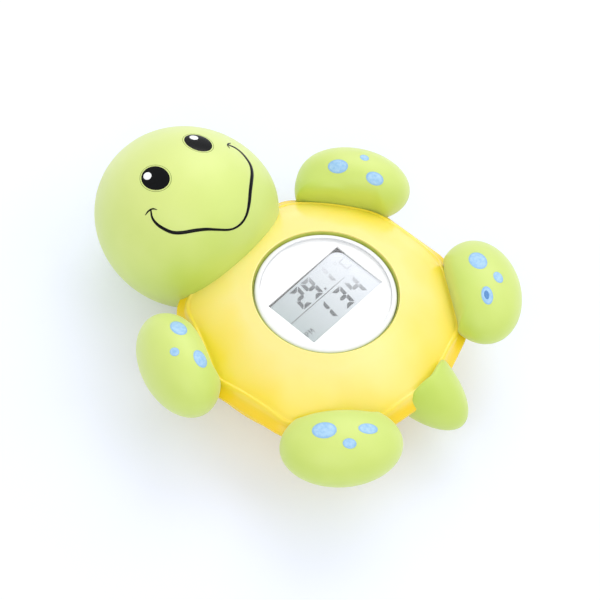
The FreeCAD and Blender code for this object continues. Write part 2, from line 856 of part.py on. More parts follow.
def make_switch_cases():
    cases = []
    for side in (1, -1):
        body = new_body(f"switch_case_{len(cases) + 1}")
        block = new_sketch(body, "block", "XY_Plane", f"{BOARD_LOW} - dims.switch_height")
        draw_rectangle(block, "dims.switch_side / 2", "dims.switch_side / 2")
        add_pad(body, block, "dims.switch_height")
        well = new_sketch(body, "well", "XY_Plane", f"{BOARD_LOW} - dims.switch_height - 1")
        draw_circle(well, "0", "0", "dims.switch_stem + 0.08")
        add_pocket(body, well, "dims.switch_cavity + 1")
        body.Placement = FreeCAD.Placement(Vec(0, side * size("button_circle"), 0), FreeCAD.Rotation())
        cases.append(body)
    return group("switch_cases", cases)


def make_ring(label, major, minor, height, places=((0.0, 0.0),)):
    rings = []
    for i, (x, y) in enumerate(places):
        ring = doc.addObject("Part::Torus", f"{label}_{i + 1}")
        ring.setExpression("Radius1", major)
        ring.setExpression("Radius2", minor)
        ring.Placement.Base = Vec(x, y, 0)
        ring.setExpression("Placement.Base.z", height)
        rings.append(ring)
    if len(rings) == 1:
        rings[0].Label = label
    return group(label, rings)


def make_cover():
    body = new_body("battery_cover")
    low = f"{MODULE_BASE} + dims.cover_sink"
    neck = "dims.cover_radius - 2.3 * dims.cover_ring"
    groove_low = f"{MODULE_BASE} + dims.cover_head"
    groove_high = f"{MODULE_BASE} + dims.cover_head + 2.4 * dims.cover_ring"
    top = f"{FLOOR_TOP} + dims.lug_play + dims.lug_height"
    add_revolution(
        body,
        [
            ("0", low),
            ("dims.cover_radius - 0.3", low),
            ("dims.cover_radius", f"{low} + 0.3"),
            ("dims.cover_radius", groove_low),
            (neck, groove_low),
            (neck, groove_high),
            ("dims.cover_radius", groove_high),
            ("dims.cover_radius", top),
            ("0", top),
        ],
    )
    lugs = new_sketch(body, "lugs", "XY_Plane", f"{FLOOR_TOP} + dims.lug_play")
    half = math.radians(size("lug_angle") / 2)
    for side in (1, -1):
        reach = size("cover_radius") + size("lug_reach")
        inner = size("cover_radius") - 1.0
        corners = []
        for radius, turn in ((inner, -half), (reach, -half), (reach, half), (inner, half)):
            corners.append((f"{radius * math.cos(turn) * side}", f"{radius * math.sin(turn) * side}"))
        draw_polygon(lugs, corners)
    add_pad(body, lugs, "dims.lug_height")
    slot = new_sketch(body, "coin_slot", "XY_Plane", f"{low} - 1")
    draw_rectangle(slot, "dims.coin_slot_length / 2", "dims.coin_slot_width / 2")
    add_pocket(body, slot, "dims.coin_slot_depth + 1")
    return body


def make_cells():
    cells = []
    for level in range(2):
        body = new_body(f"button_cell_{level + 1}")
        low = f"dims.cell_base + {level} * dims.cell_height"
        high = f"dims.cell_base + {level + 1} * dims.cell_height"
        add_revolution(
            body,
            [
                ("0", low),
                ("dims.cell_radius", low),
                ("dims.cell_radius", f"{high} - 0.9"),
                ("dims.cell_radius - 0.6", f"{high} - 0.4"),
                ("dims.cell_radius - 1.0", f"{high} - 0.4"),
                ("dims.cell_radius - 1.2", high),
                ("0", high),
            ],
        )
        cells.append(body)
    return group("button_cells", cells)


def make_probe():
    body = new_body("probe_cap")
    tip = f"{MODULE_BASE} - dims.probe_stands_out"
    bore = "dims.probe_radius - dims.probe_wall"
    add_revolution(
        body,
        [
            ("0", tip),
            ("dims.probe_radius - 0.7", tip),
            ("dims.probe_radius", f"{tip} + 0.7"),
            ("dims.probe_radius", FLOOR_TOP),
            ("dims.probe_flange", FLOOR_TOP),
            ("dims.probe_flange", f"{FLOOR_TOP} + dims.probe_wall"),
            (bore, f"{FLOOR_TOP} + dims.probe_wall"),
            (bore, f"{tip} + 0.7"),
            ("0", f"{tip} + 0.7"),
        ],
    )
    body.Placement = FreeCAD.Placement(Vec(-size("probe_circle"), 0, 0), FreeCAD.Rotation())
    return body


def make_thermistor():
    bead = doc.addObject("Part::Sphere", "bead")
    bead.setExpression("Radius", "dims.bead_radius")
    bead.setExpression("Placement.Base.x", "-dims.probe_circle")
    bead.setExpression("Placement.Base.z", "dims.base_depth + dims.bead_radius - 0.2")
    leads = []
    for sign in ("-", "+"):
        lead = doc.addObject("Part::Cylinder", "lead")
        lead.setExpression("Radius", "dims.lead_radius")
        lead.setExpression("Height", "dims.board_height - dims.base_depth - dims.bead_radius + 0.2")
        lead.setExpression("Placement.Base.x", "-dims.probe_circle")
        lead.setExpression("Placement.Base.y", f"{sign}dims.lead_spread")
        lead.setExpression("Placement.Base.z", "dims.base_depth + dims.bead_radius - 0.2")
        leads.append(lead)
    joined = doc.addObject("Part::MultiFuse", "thermistor")
    joined.Label = "thermistor"
    joined.Shapes = [bead] + leads
    loose.extend([bead] + leads)
    return joined


make_cradle()
make_housing()
make_lens()
make_dial()
make_block(
    "lcd_glass", "dims.lcd_length / 2", "dims.lcd_width / 2", LCD_LOW, "dims.lcd_thickness",
    turn=size("display_turn"),
)
make_holder()
STRIP_X = "dims.lcd_length / 2 - dims.strip_width / 2"
make_block(
    "contact_strips",
    "dims.strip_width / 2",
    "dims.strip_length / 2",
    BOARD_TOP,
    f"{LCD_LOW} - dims.board_height - dims.board_thickness",
    ((STRIP_X, "0"), (f"-({STRIP_X})", "0")),
    size("display_turn"),
)
make_board()
make_screws(
    "board_screws", POSTS, "dims.board_screw_radius", "dims.board_screw_head", "0.8",
    BOARD_TOP, "dims.board_screw_length", False,
)
make_screws(
    "shell_screws", SCREW_PLACES, "dims.screw_radius", "dims.screw_head_radius", "dims.screw_head_height",
    "dims.screw_seat", "dims.screw_length", True,
)
make_button("set_button", 1)
make_button("mode_button", -1)
make_switch_stem("set_switch_stem", 1)
make_switch_stem("mode_switch_stem", -1)
make_switch_cases()
BUTTON_PLACES = ((0.0, size("button_circle")), (0.0, -size("button_circle")))
make_ring(
    "button_seals", "dims.button_radius + 1.2 * dims.boot_ring", "dims.boot_ring",
    f"{FLOOR_TOP} - 1.1 * dims.boot_ring", BUTTON_PLACES,
)
make_cover()
make_ring(
    "cover_seal", "dims.cover_radius - 1.15 * dims.cover_ring", "dims.cover_ring",
    f"{MODULE_BASE} + dims.cover_head + 1.2 * dims.cover_ring",
)
make_cells()
make_probe()
make_thermistor()
make_block("controller_chip", "dims.chip_side / 2", "dims.chip_side / 2", BOARD_TOP, "dims.chip_height")
CAPACITOR_Y = "dims.chip_side / 2 + dims.capacitor_gap"
CAPACITOR_X = "dims.capacitor_spread"
make_block(
    "capacitors", "dims.capacitor_length / 2", "dims.capacitor_width / 2", BOARD_TOP,
    "dims.capacitor_height",
    ((CAPACITOR_X, CAPACITOR_Y), (f"-{CAPACITOR_X}", CAPACITOR_Y), ("0", f"-({CAPACITOR_Y})")),
)

crystal = doc.addObject("Part::Cylinder", "quartz_crystal")
crystal.Label = "quartz_crystal"
crystal.setExpression("Radius", "dims.crystal_radius")
crystal.setExpression("Height", "dims.crystal_length")
crystal.Placement = FreeCAD.Placement(Vec(0, 0, 0), FreeCAD.Rotation(Vec(0, 1, 0), 90))
crystal.setExpression("Placement.Base.x", "-dims.crystal_length / 2")
crystal.setExpression("Placement.Base.y", f"-({CAPACITOR_Y}) - dims.crystal_gap")
crystal.setExpression("Placement.Base.z", f"{BOARD_TOP} + dims.crystal_radius + 0.02")


def make_contacts():
    """A leaf on top of the cells, up to the board, and a sprung plate on the cover below them."""
    cover_top = f"{FLOOR_TOP} + dims.lug_play + dims.lug_height"
    plate = new_body("cover_contact")
    add_revolution(
        plate,
        [
            ("dims.contact_hole", "dims.cell_base - dims.contact_gap - dims.contact_thickness"),
            ("dims.contact_hole", "dims.cell_base - dims.contact_gap"),
            ("dims.cell_radius - 0.3", f"{cover_top} + dims.contact_thickness"),
            ("dims.cell_radius - 0.3", cover_top),
        ],
    )
    cells_top = "dims.cell_base + 2 * dims.cell_height"
    leaf = new_body("cell_top_contact")
    plate = new_sketch(leaf, "plate", "XY_Plane", cells_top)
    draw_rectangle(plate, "dims.cell_radius - 1.5", "dims.contact_width / 2")
    add_pad(leaf, plate, "dims.contact_thickness")
    for sign in ("-", ""):
        leg = new_sketch(leaf, "leg", "XY_Plane", cells_top)
        across = f"{sign}(dims.cell_radius - 1.5 - dims.contact_thickness / 2)"
        draw_rectangle(leg, "dims.contact_thickness / 2", "dims.contact_width / 2", across)
        add_pad(leaf, leg, f"dims.board_height - ({cells_top})")


make_contacts()
doc.recompute()

# ------------------------------------------------------------ test and write
os.makedirs("parts", exist_ok=True)
for item in doc.Objects:
    if "Invalid" in item.State or "Error" in item.State:
        raise RuntimeError(f"{item.Label} failed")

PIECE_KINDS = (
    "PartDesign::Body",
    "Part::Feature",
    "Part::Compound",
    "Part::Torus",
    "Part::Cylinder",
    "Part::MultiFuse",
)
inside = set(item.Name for item in loose)
for item in doc.Objects:
    if item.TypeId not in PIECE_KINDS or item.Name in inside:
        continue
    if item.Shape.isNull() or not item.Shape.isValid():
        raise RuntimeError(f"{item.Label} has no valid shape")
    item.Shape.exportStep(os.path.join("parts", f"{item.Label}.step"))
    print(item.Label, len(item.Shape.Solids), round(item.Shape.Volume, 1))
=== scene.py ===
import math
import bmesh
import bpy
import numpy as np
from mathutils import Matrix, Vector


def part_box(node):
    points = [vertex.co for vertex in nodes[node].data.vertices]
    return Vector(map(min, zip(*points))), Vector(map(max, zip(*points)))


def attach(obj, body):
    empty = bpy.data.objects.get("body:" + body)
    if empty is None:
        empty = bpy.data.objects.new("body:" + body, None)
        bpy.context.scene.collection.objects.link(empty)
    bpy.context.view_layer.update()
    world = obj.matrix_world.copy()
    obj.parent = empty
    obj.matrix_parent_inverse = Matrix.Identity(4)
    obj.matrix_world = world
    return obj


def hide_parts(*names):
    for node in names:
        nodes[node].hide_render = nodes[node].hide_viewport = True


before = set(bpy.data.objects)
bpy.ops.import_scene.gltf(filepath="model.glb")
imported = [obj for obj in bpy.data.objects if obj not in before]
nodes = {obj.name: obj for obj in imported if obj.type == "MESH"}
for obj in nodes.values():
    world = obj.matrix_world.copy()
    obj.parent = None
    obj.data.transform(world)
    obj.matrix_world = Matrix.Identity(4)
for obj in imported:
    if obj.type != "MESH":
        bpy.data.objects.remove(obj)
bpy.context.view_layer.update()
mm = 0.001  # every size below is in millimetres, unless it says otherwise
print("frame loaded:", len(nodes), "nodes")


def linear(hexText, alpha=1.0):
    # an sRGB hex colour as the linear values that sockets take
    out = []
    for i in (1, 3, 5):
        c = int(hexText[i:i + 2], 16) / 255
        out.append(c / 12.92 if c <= 0.04045 else ((c + 0.055) / 1.055) ** 2.4)
    return (*out, alpha)


def addNode(tree, kind, settings=None, links=None):
    node = tree.nodes.new(kind)
    for key, value in (settings or {}).items():
        if isinstance(key, int) or key in node.inputs:
            node.inputs[key].default_value = value
        else:
            setattr(node, key, value)
    for key, source in (links or {}).items():
        tree.links.new(source, node.inputs[key])
    return node


def startMaterial(name, settings):
    mat = bpy.data.materials.new(name)
    mat.use_nodes = True
    tree = mat.node_tree
    tree.nodes.clear()
    shader = addNode(tree, "ShaderNodeBsdfPrincipled", settings)
    out = addNode(tree, "ShaderNodeOutputMaterial")
    tree.links.new(shader.outputs[0], out.inputs["Surface"])
    place = addNode(tree, "ShaderNodeTexCoord").outputs["Object"]
    return mat, tree, shader, place


def cloudsAt(tree, place, sizeMm, low=0.35, high=0.65, detail=2.0):
    # clouds of a real size, with noise that mostly lies between low and high stretched to run from 0 to 1
    noise = addNode(tree, "ShaderNodeTexNoise", {
        "Scale": 1.0 / (sizeMm * mm), "Detail": detail, "Roughness": 0.5}, {"Vector": place})
    return addNode(tree, "ShaderNodeMapRange", {"From Min": low, "From Max": high},
                   {"Value": noise.outputs["Fac"]}).outputs["Result"]


def roughen(tree, shader, place, sizeMm, depthMm, strength, detail=2.0):
    # a grain of a real size and depth, in the light only
    noise = addNode(tree, "ShaderNodeTexNoise", {
        "Scale": 1.0 / (sizeMm * mm), "Detail": detail, "Roughness": 0.5}, {"Vector": place})
    bump = addNode(tree, "ShaderNodeBump", {"Distance": depthMm * mm, "Strength": strength},
                   {"Height": noise.outputs["Fac"]})
    tree.links.new(bump.outputs["Normal"], shader.inputs["Normal"])


def mottledMaterial(name, settings, first, second, sizeMm, low=0.35, high=0.65, detail=2.0):
    # two near colours that drift into each other in clouds of a real size
    mat, tree, shader, place = startMaterial(name, settings)
    cloud = cloudsAt(tree, place, sizeMm, low, high, detail)
    colour = addNode(tree, "ShaderNodeMix", {"data_type": "RGBA", 6: linear(first), 7: linear(second)},
                     {0: cloud})
    tree.links.new(colour.outputs[2], shader.inputs["Base Color"])
    return mat, tree, shader, cloud


def axisDistance(tree, place):
    # how far a point lies from the turtle's upright axis
    flat = addNode(tree, "ShaderNodeVectorMath", {"operation": "MULTIPLY", 1: (1, 1, 0)}, {0: place})
    length = addNode(tree, "ShaderNodeVectorMath", {"operation": "LENGTH"}, {0: flat.outputs[0]})
    return length.outputs["Value"]


yellowSizes = {
    "wallShadeTop": 22.6, "wallShadeLow": 20.8,  # heights between which lemon turns to the wall's deeper yellow, a painted shade
    "highlightInnerRadius": 21.0, "highlightOuterRadius": 36.0,  # distances from the axis between which a painted highlight, palest near the hole, fades as the dome deepens
    "cloud": 22.0, "cloudShare": 0.5,  # size of the clouds, and their share of the whole change of colour
    "sink": 5.0, "sinkDepth": 0.03,  # faint sink marks of cooling plastic
}


def mouldedYellow():
    # injection-moulded ABS: glossy clean lemon on the dome, which a painted highlight pales near the hole; a
    # painted shade turns the steep wall below it a deeper yellow
    s = yellowSizes
    mat, tree, shader, place = startMaterial("mouldedAbsYellow", {
        "Roughness": 0.24, "IOR": 1.53, "Subsurface Weight": 0.12, "Subsurface Scale": 0.0015,
        "Coat Weight": 0.15, "Coat Roughness": 0.12})
    height = addNode(tree, "ShaderNodeSeparateXYZ", {}, {0: place}).outputs["Z"]
    # painted shade: the steep wall below the dome takes a deeper yellow
    low = addNode(tree, "ShaderNodeMapRange", {"From Min": s["wallShadeTop"] * mm, "From Max": s["wallShadeLow"] * mm},
                  {"Value": height})
    # painted highlight: the dome is palest near the hole and deepens towards the rim
    edge = addNode(tree, "ShaderNodeMapRange", {
        "From Min": s["highlightInnerRadius"] * mm, "From Max": s["highlightOuterRadius"] * mm},
        {"Value": axisDistance(tree, place)})
    cloud = addNode(tree, "ShaderNodeMath", {
        "operation": "MULTIPLY_ADD", 1: s["cloudShare"], 2: -s["cloudShare"] / 2},
        {0: cloudsAt(tree, place, s["cloud"])})
    # random clouds of tone, plus the painted highlight's fade
    deep = addNode(tree, "ShaderNodeMath", {"operation": "ADD", "use_clamp": True},
                   {0: cloud.outputs[0], 1: edge.outputs["Result"]})
    # FFEE94 is the painted highlight near the hole, #FFE344 the dome's deeper yellow towards the rim
    dome = addNode(tree, "ShaderNodeMix", {"data_type": "RGBA", 6: linear("#FFEE94"), 7: linear("#FFE344")},
                   {0: deep.outputs[0]})
    # FFD822 is the wall's painted shade
    colour = addNode(tree, "ShaderNodeMix", {"data_type": "RGBA", 7: linear("#FFD822")},
                     {0: low.outputs["Result"], 6: dome.outputs[2]})
    tree.links.new(colour.outputs[2], shader.inputs["Base Color"])
    roughen(tree, shader, place, s["sink"], s["sinkDepth"], 0.25, 1.0)
    return mat


vinylSizes = {
    "paintedLightLow": 9.0, "paintedLightTop": 42.0,  # painted light: the colour pales towards the top between these heights
    "rootOut": 43.0, "rootIn": 33.0, "rootShade": -0.28,  # and painted shade deepens it between these distances, near the shell
    "cloud": 14.0, "cloudShare": 0.16,  # size of its clouds, and their share of the whole change of colour
    "grain": 0.5, "grainDepth": 0.02,  # finer in the real vinyl, drawn coarse enough to show
}


def softVinyl():
    # rotation-moulded soft PVC: satin, slightly velvety; painted light makes it paler on top and painted
    # shade deeper at the roots
    s = vinylSizes
    mat, tree, shader, place = startMaterial("softVinylGreen", {
        "Roughness": 0.46, "IOR": 1.52, "Specular IOR Level": 0.85, "Subsurface Weight": 0.18,
        "Subsurface Scale": 0.002, "Subsurface Radius": (1.0, 1.0, 0.35),
        "Sheen Weight": 0.45, "Sheen Roughness": 0.7, "Sheen Tint": linear("#FBFEEC"),
        "Coat Weight": 0.1, "Coat Roughness": 0.5})
    height = addNode(tree, "ShaderNodeSeparateXYZ", {}, {0: place}).outputs["Z"]
    # painted light: paler towards the top
    pale = addNode(tree, "ShaderNodeMapRange", {
        "From Min": s["paintedLightLow"] * mm, "From Max": s["paintedLightTop"] * mm}, {"Value": height})
    # painted shade: deeper near the shell, where the soft parts meet it
    root = addNode(tree, "ShaderNodeMapRange", {
        "From Min": s["rootOut"] * mm, "From Max": s["rootIn"] * mm, "To Max": s["rootShade"]},
        {"Value": axisDistance(tree, place)})
    cloud = addNode(tree, "ShaderNodeMath", {
        "operation": "MULTIPLY_ADD", 1: s["cloudShare"], 2: -s["cloudShare"] / 2},
        {0: cloudsAt(tree, place, s["cloud"])})
    light = addNode(tree, "ShaderNodeMath", {"operation": "ADD", "use_clamp": True},
                    {0: cloud.outputs[0], 1: pale.outputs["Result"]})
    light = addNode(tree, "ShaderNodeMath", {"operation": "ADD", "use_clamp": True},
                    {0: light.outputs[0], 1: root.outputs["Result"]})
    # B9D71C at the shaded roots and low down, #DAEA7C at the lit top; clouds drift between them
    colour = addNode(tree, "ShaderNodeMix", {"data_type": "RGBA", 6: linear("#B9D71C"), 7: linear("#DAEA7C")},
                     {0: light.outputs[0]})
    tree.links.new(colour.outputs[2], shader.inputs["Base Color"])
    roughen(tree, shader, place, s["grain"], s["grainDepth"], 0.3)
    return mat


def sprayedBlue():
    # mask-sprayed vinyl paint: soft sky blue, mottled, a little deeper at its rim
    mat, tree, shader, place = startMaterial("maskSprayedBlue", {"Roughness": 0.4, "IOR": 1.5})
    rim = addNode(tree, "ShaderNodeAttribute", {"attribute_name": "rim"}).outputs["Fac"]
    mottle = cloudsAt(tree, place, 0.9, 0.3, 0.7)
    inner = addNode(tree, "ShaderNodeMix", {"data_type": "RGBA", 6: linear("#94C4EE"), 7: linear("#B2D8F6")},
                    {0: mottle})
    colour = addNode(tree, "ShaderNodeMix", {"data_type": "RGBA", 7: linear("#7CB0E6")},
                     {0: rim, 6: inner.outputs[2]})
    tree.links.new(colour.outputs[2], shader.inputs["Base Color"])
    bump = addNode(tree, "ShaderNodeBump", {"Distance": 0.02 * mm, "Strength": 0.3}, {"Height": mottle})
    tree.links.new(bump.outputs["Normal"], shader.inputs["Normal"])
    return mat


def printedInk(name, first, second, roughness):
    # pad-printed ink, or the last thick drops of sprayed paint: even and slightly glossy
    settings = {"Roughness": roughness, "IOR": 1.5, "Specular IOR Level": 0.15}
    return mottledMaterial(name, settings, first, second, 0.4)[0]


def plainPlastic(name, first, second, roughness, grainMm=3.0):
    # small moulded parts: even colour, a trace of flow marks
    settings = {"Roughness": roughness, "IOR": 1.5}
    mat, tree, shader, flow = mottledMaterial(name, settings, first, second, grainMm)
    bump = addNode(tree, "ShaderNodeBump", {"Distance": 0.01 * mm, "Strength": 0.3}, {"Height": flow})
    tree.links.new(bump.outputs["Normal"], shader.inputs["Normal"])
    return mat


def clearAcrylic():
    # cast and polished acrylic: clear, with a sharp reflection; light passes it to reach the dial
    settings = {"Roughness": 0.02, "IOR": 1.49, "Transmission Weight": 1.0}
    mat, tree, shader = mottledMaterial("clearAcrylic", settings, "#FDFEFF", "#FFFFFF", 6.0, 0.3, 0.7)[:3]
    path = addNode(tree, "ShaderNodeLightPath")
    passing = addNode(tree, "ShaderNodeMath", {"operation": "MAXIMUM"},
                      {0: path.outputs["Is Shadow Ray"], 1: path.outputs["Is Diffuse Ray"]})
    through = addNode(tree, "ShaderNodeBsdfTransparent", {"Color": linear("#FFFFFF")})
    choose = addNode(tree, "ShaderNodeMixShader", {},
                     {0: passing.outputs[0], 1: shader.outputs[0], 2: through.outputs[0]})
    out = next(n for n in tree.nodes if n.type == "OUTPUT_MATERIAL")
    tree.links.new(choose.outputs[0], out.inputs["Surface"])
    return mat


lcdSizes = {
    "reflectionStartY": 13.0, "reflectionFullY": -13.0,  # painted reflection: the glass pales along Y
    # painted reflection: the segments wash out this way, between two distances from the axis, by up to this
    # share
    "paintedGlareWay": (0.5, -0.87, 0), "paintedGlareFrom": 1.5, "paintedGlareTo": 7.5, "paintedGlareMost": 0.9,
    "frosting": 0.3, "frostingDepth": 0.005,
}


def lcdFace():
    # reflective LCD: grey-green glass over a silvered back, with a painted reflection that pales it towards
    # one end
    s = lcdSizes
    mat, tree, shader, place = startMaterial("lcdGlass", {
        "Roughness": 0.3, "IOR": 1.52, "Specular IOR Level": 0.25})
    across = addNode(tree, "ShaderNodeSeparateXYZ", {}, {0: place}).outputs["Y"]
    fade = addNode(tree, "ShaderNodeMapRange", {"From Min": s["reflectionStartY"] * mm, "From Max": s["reflectionFullY"] * mm},
                   {"Value": across})
    # 9EAAAC is the glass, #DCE0E8 the painted reflection at its pale end
    colour = addNode(tree, "ShaderNodeMix", {"data_type": "RGBA", 6: linear("#9EAAAC"), 7: linear("#DCE0E8")},
                     {0: fade.outputs["Result"]})
    tree.links.new(colour.outputs[2], shader.inputs["Base Color"])
    roughen(tree, shader, place, s["frosting"], s["frostingDepth"], 0.2)
    return mat


def lcdSegments():
    # twisted-nematic segments: dark grey, washed out towards the far corner by a painted reflection
    s = lcdSizes
    mat, tree, shader, place = startMaterial("lcdSegment", {"Roughness": 0.5, "IOR": 1.52})
    along = addNode(tree, "ShaderNodeVectorMath", {"operation": "DOT_PRODUCT", 1: s["paintedGlareWay"]}, {0: place})
    fade = addNode(tree, "ShaderNodeMapRange", {
        "From Min": s["paintedGlareFrom"] * mm, "From Max": s["paintedGlareTo"] * mm, "To Max": s["paintedGlareMost"]},
        {"Value": along.outputs["Value"]})
    # CCD0D8 is the painted reflection that washes the segments out
    colour = addNode(tree, "ShaderNodeMix", {"data_type": "RGBA", 6: linear("#3E474E"), 7: linear("#CCD0D8")},
                     {0: fade.outputs["Result"]})
    tree.links.new(colour.outputs[2], shader.inputs["Base Color"])
    return mat


def shinyMetal(name, first, second, roughness, grainMm):
    # drawn or stamped metal: fine scratches break up the shine
    mat, tree, shader, grain = mottledMaterial(name, {"Metallic": 1.0, "Roughness": roughness},
                                               first, second, grainMm, 0.3, 0.7, 4.0)
    rough = addNode(tree, "ShaderNodeMapRange", {"To Min": roughness * 0.8, "To Max": roughness * 1.3},
                    {"Value": grain})
    tree.links.new(rough.outputs["Result"], shader.inputs["Roughness"])
    return mat


yellow = mouldedYellow()
vinyl = softVinyl()
spotBlue = sprayedBlue()
inkBlack = printedInk("padInkBlack", "#030405", "#090B10", 0.25)
inkWhite = printedInk("padInkWhite", "#F4F8FC", "#FFFFFF", 0.35)
inkOlive = printedInk("padInkOlive", "#7E9140", "#8A9C4A", 0.4)
paintDeepBlue = printedInk("sprayedPoolBlue", "#5C8CC8", "#6A9AD2", 0.35)
cradleGreen = plainPlastic("mouldedCradleGreen", "#B9C450", "#C2CC5A", 0.35)
whiteAbs = plainPlastic("mouldedAbsWhite", "#F0F2F4", "#F5F6F8", 0.32)
dialWhite = plainPlastic("silkPrintedDialWhite", "#FAFBFC", "#FFFFFF", 0.5)
acrylic = clearAcrylic()
lcdGlass = lcdFace()
lcdInk = lcdSegments()
blackFoam = plainPlastic("blackFoamGasket", "#08080A", "#101012", 0.8, 0.5)
greyPlastic = plainPlastic("mouldedGrey", "#8F959B", "#979DA3", 0.4)
blackPlastic = plainPlastic("mouldedBlack", "#141416", "#1B1B1E", 0.45)
sealRubber = plainPlastic("siliconeSeal", "#2A2B2D", "#333436", 0.55, 1.0)
zebraRubber = plainPlastic("zebraStripRubber", "#C98F98", "#D39CA4", 0.6, 0.5)
boardGreen = plainPlastic("glassEpoxyBoard", "#1C5A34", "#22663C", 0.4, 1.5)
steel = shinyMetal("stainlessSteel", "#B9BCC0", "#C9CCD0", 0.28, 0.8)
bronze = shinyMetal("springBronze", "#C8A25C", "#D6B26C", 0.3, 0.8)
print("materials made")


def newPiece(name, verts, faces, mats, body="turtle", stands=(), smooth=True):
    # a mesh from points in millimetres, on its body, in the place of the CAD nodes that it stands for
    points = [tuple(v) for v in np.asarray(verts) * mm]
    mesh = bpy.data.meshes.new(name)
    mesh.from_pydata(points, [], [tuple(int(i) for i in f) for f in faces])
    for mat in mats:
        mesh.materials.append(mat)
    mesh.polygons.foreach_set("use_smooth", [smooth] * len(mesh.polygons))
    mesh.update()
    obj = bpy.data.objects.new(name, mesh)
    bpy.context.scene.collection.objects.link(obj)
    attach(obj, body)
    if stands:
        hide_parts(*stands)
    return obj


def gridFaces(rows, around, closeRows=False):
    # the faces between closed rings of points
    faces = []
    for r in range(rows if closeRows else rows - 1):
        below = r * around
        above = (r + 1) % rows * around
        for k in range(around):
            n = (k + 1) % around
            faces.append((below + k, below + n, above + n, above + k))
    return faces


weldGap = 0.002  # corners of a CAD mesh closer than this are one


def smoothCopy(name, node, mat, body="turtle", sharpDeg=35):
    # a CAD node with joined vertices, so that its round faces shade evenly
    mesh = nodes[node].data.copy()
    mesh.name = name
    mesh.materials.clear()
    mesh.materials.append(mat)
    obj = bpy.data.objects.new(name, mesh)
    bpy.context.scene.collection.objects.link(obj)
    work = bmesh.new()
    work.from_mesh(mesh)
    bmesh.ops.remove_doubles(work, verts=work.verts, dist=weldGap * mm)
    bmesh.ops.dissolve_degenerate(work, edges=work.edges, dist=weldGap / 2 * mm)
    work.to_mesh(mesh)
    work.free()
    mesh.polygons.foreach_set("material_index", [0] * len(mesh.polygons))
    mesh.polygons.foreach_set("use_smooth", [True] * len(mesh.polygons))
    mesh.set_sharp_from_angle(angle=math.radians(sharpDeg))
    mesh.update()
    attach(obj, body)
    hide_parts(node)


def dress(mat, *names):
    # gives CAD nodes that are shown as they are their material
    for name in names:
        mesh = nodes[name].data
        mesh.materials.clear()
        mesh.materials.append(mat)


shellSizes = {
    # the outline's corners from above, on one side
    "corners": [(32.0, 23.0), (9.0, 37.0), (-15.0, 35.7), (-32.8, 20.0), (-37.4, 0.0)],
    "cornerRound": 10.0,
    "holeRadius": 19.0,
    "holeEdge": [(0.0, 0.4), (0.06, 0.16), (0.2, 0.04)],  # rounding of the hole: step outwards and drop
    "domeRadius": 55.95,
    "lipInset": 2.6,  # from the flange's edge in to the bead
    "beadHeight": 0.3,
    "creaseDepth": 0.1,
    # across the bead: step inwards, and rise as a share of its height or, below zero, of the crease's depth
    "bead": [(1.25, -0.35), (0.95, -0.8), (0.75, -1.0), (0.6, -0.75), (0.45, 0.05), (0.25, 0.75), (0.0, 1.0),
             (-0.22, 0.8), (-0.4, 0.25), (-0.5, -0.6)],
    "flangeTop": 19.55,
    "flangeLow": 18.64,
    "flangeRound": 0.12,
    "wall": 1.9,
    "domeRows": 40,
    "lipRows": 12,
    "around": 480,
}
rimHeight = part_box("top_shell")[1].z / mm


def innerPolygon():
    # the outline's polygon, moved in by the rounding of its corners
    half = shellSizes["corners"]
    ring = half + [(x, -y) for x, y in reversed(half[:-1])]
    ring = np.array(ring)
    ahead = np.roll(ring, -1, axis=0)
    along = (ahead - ring) / np.linalg.norm(ahead - ring, axis=1)[:, None]
    outward = np.stack([along[:, 1], -along[:, 0]], axis=1)
    if ((ring.mean(0) - ring[0]) @ outward[0]) > 0:
        outward = -outward
    reach = (outward * ring).sum(1) - shellSizes["cornerRound"]
    corners = []
    for i in range(len(ring)):
        pair = np.array([outward[i - 1], outward[i]])
        corners.append(np.linalg.solve(pair, [reach[i - 1], reach[i]]))
    return outward, reach, np.array(corners)


outlineNormals, outlineReach, outlineCorners = innerPolygon()


def outlineDepth(plan):
    # how far a plan point lies inside the flange's outline
    plan = np.asarray(plan)
    flat = plan.reshape(-1, 2)
    beyond = (flat @ outlineNormals.T - outlineReach).max(1)
    start = outlineCorners
    step = np.roll(outlineCorners, -1, axis=0) - start
    toPoint = flat[:, None, :] - start[None]
    share = np.clip((toPoint * step).sum(2) / (step * step).sum(1), 0, 1)
    gap = np.linalg.norm(toPoint - share[..., None] * step, axis=2).min(1)
    signed = np.where(beyond > 0, gap, beyond)
    return (shellSizes["cornerRound"] - signed).reshape(plan.shape[:-1])


def outlineRadius(angle, inset):
    # how far out from the axis the outline lies, moved inwards by the inset
    ray = np.stack([np.cos(angle), np.sin(angle)], axis=1)
    low, high = np.zeros(len(angle)), np.full(len(angle), 60.0)  # the shell reaches less far than that
    for _ in range(36):
        middle = (low + high) / 2
        inside = outlineDepth(ray * middle[:, None]) > inset
        low = np.where(inside, middle, low)
        high = np.where(inside, high, middle)
    return (low + high) / 2


def domeHeight(radius):
    # the dome is part of a big ball that meets the rim of the hole
    big = shellSizes["domeRadius"]
    centre = rimHeight - math.sqrt(big ** 2 - shellSizes["holeRadius"] ** 2)
    return centre + np.sqrt(big ** 2 - np.minimum(radius, big - 1) ** 2)


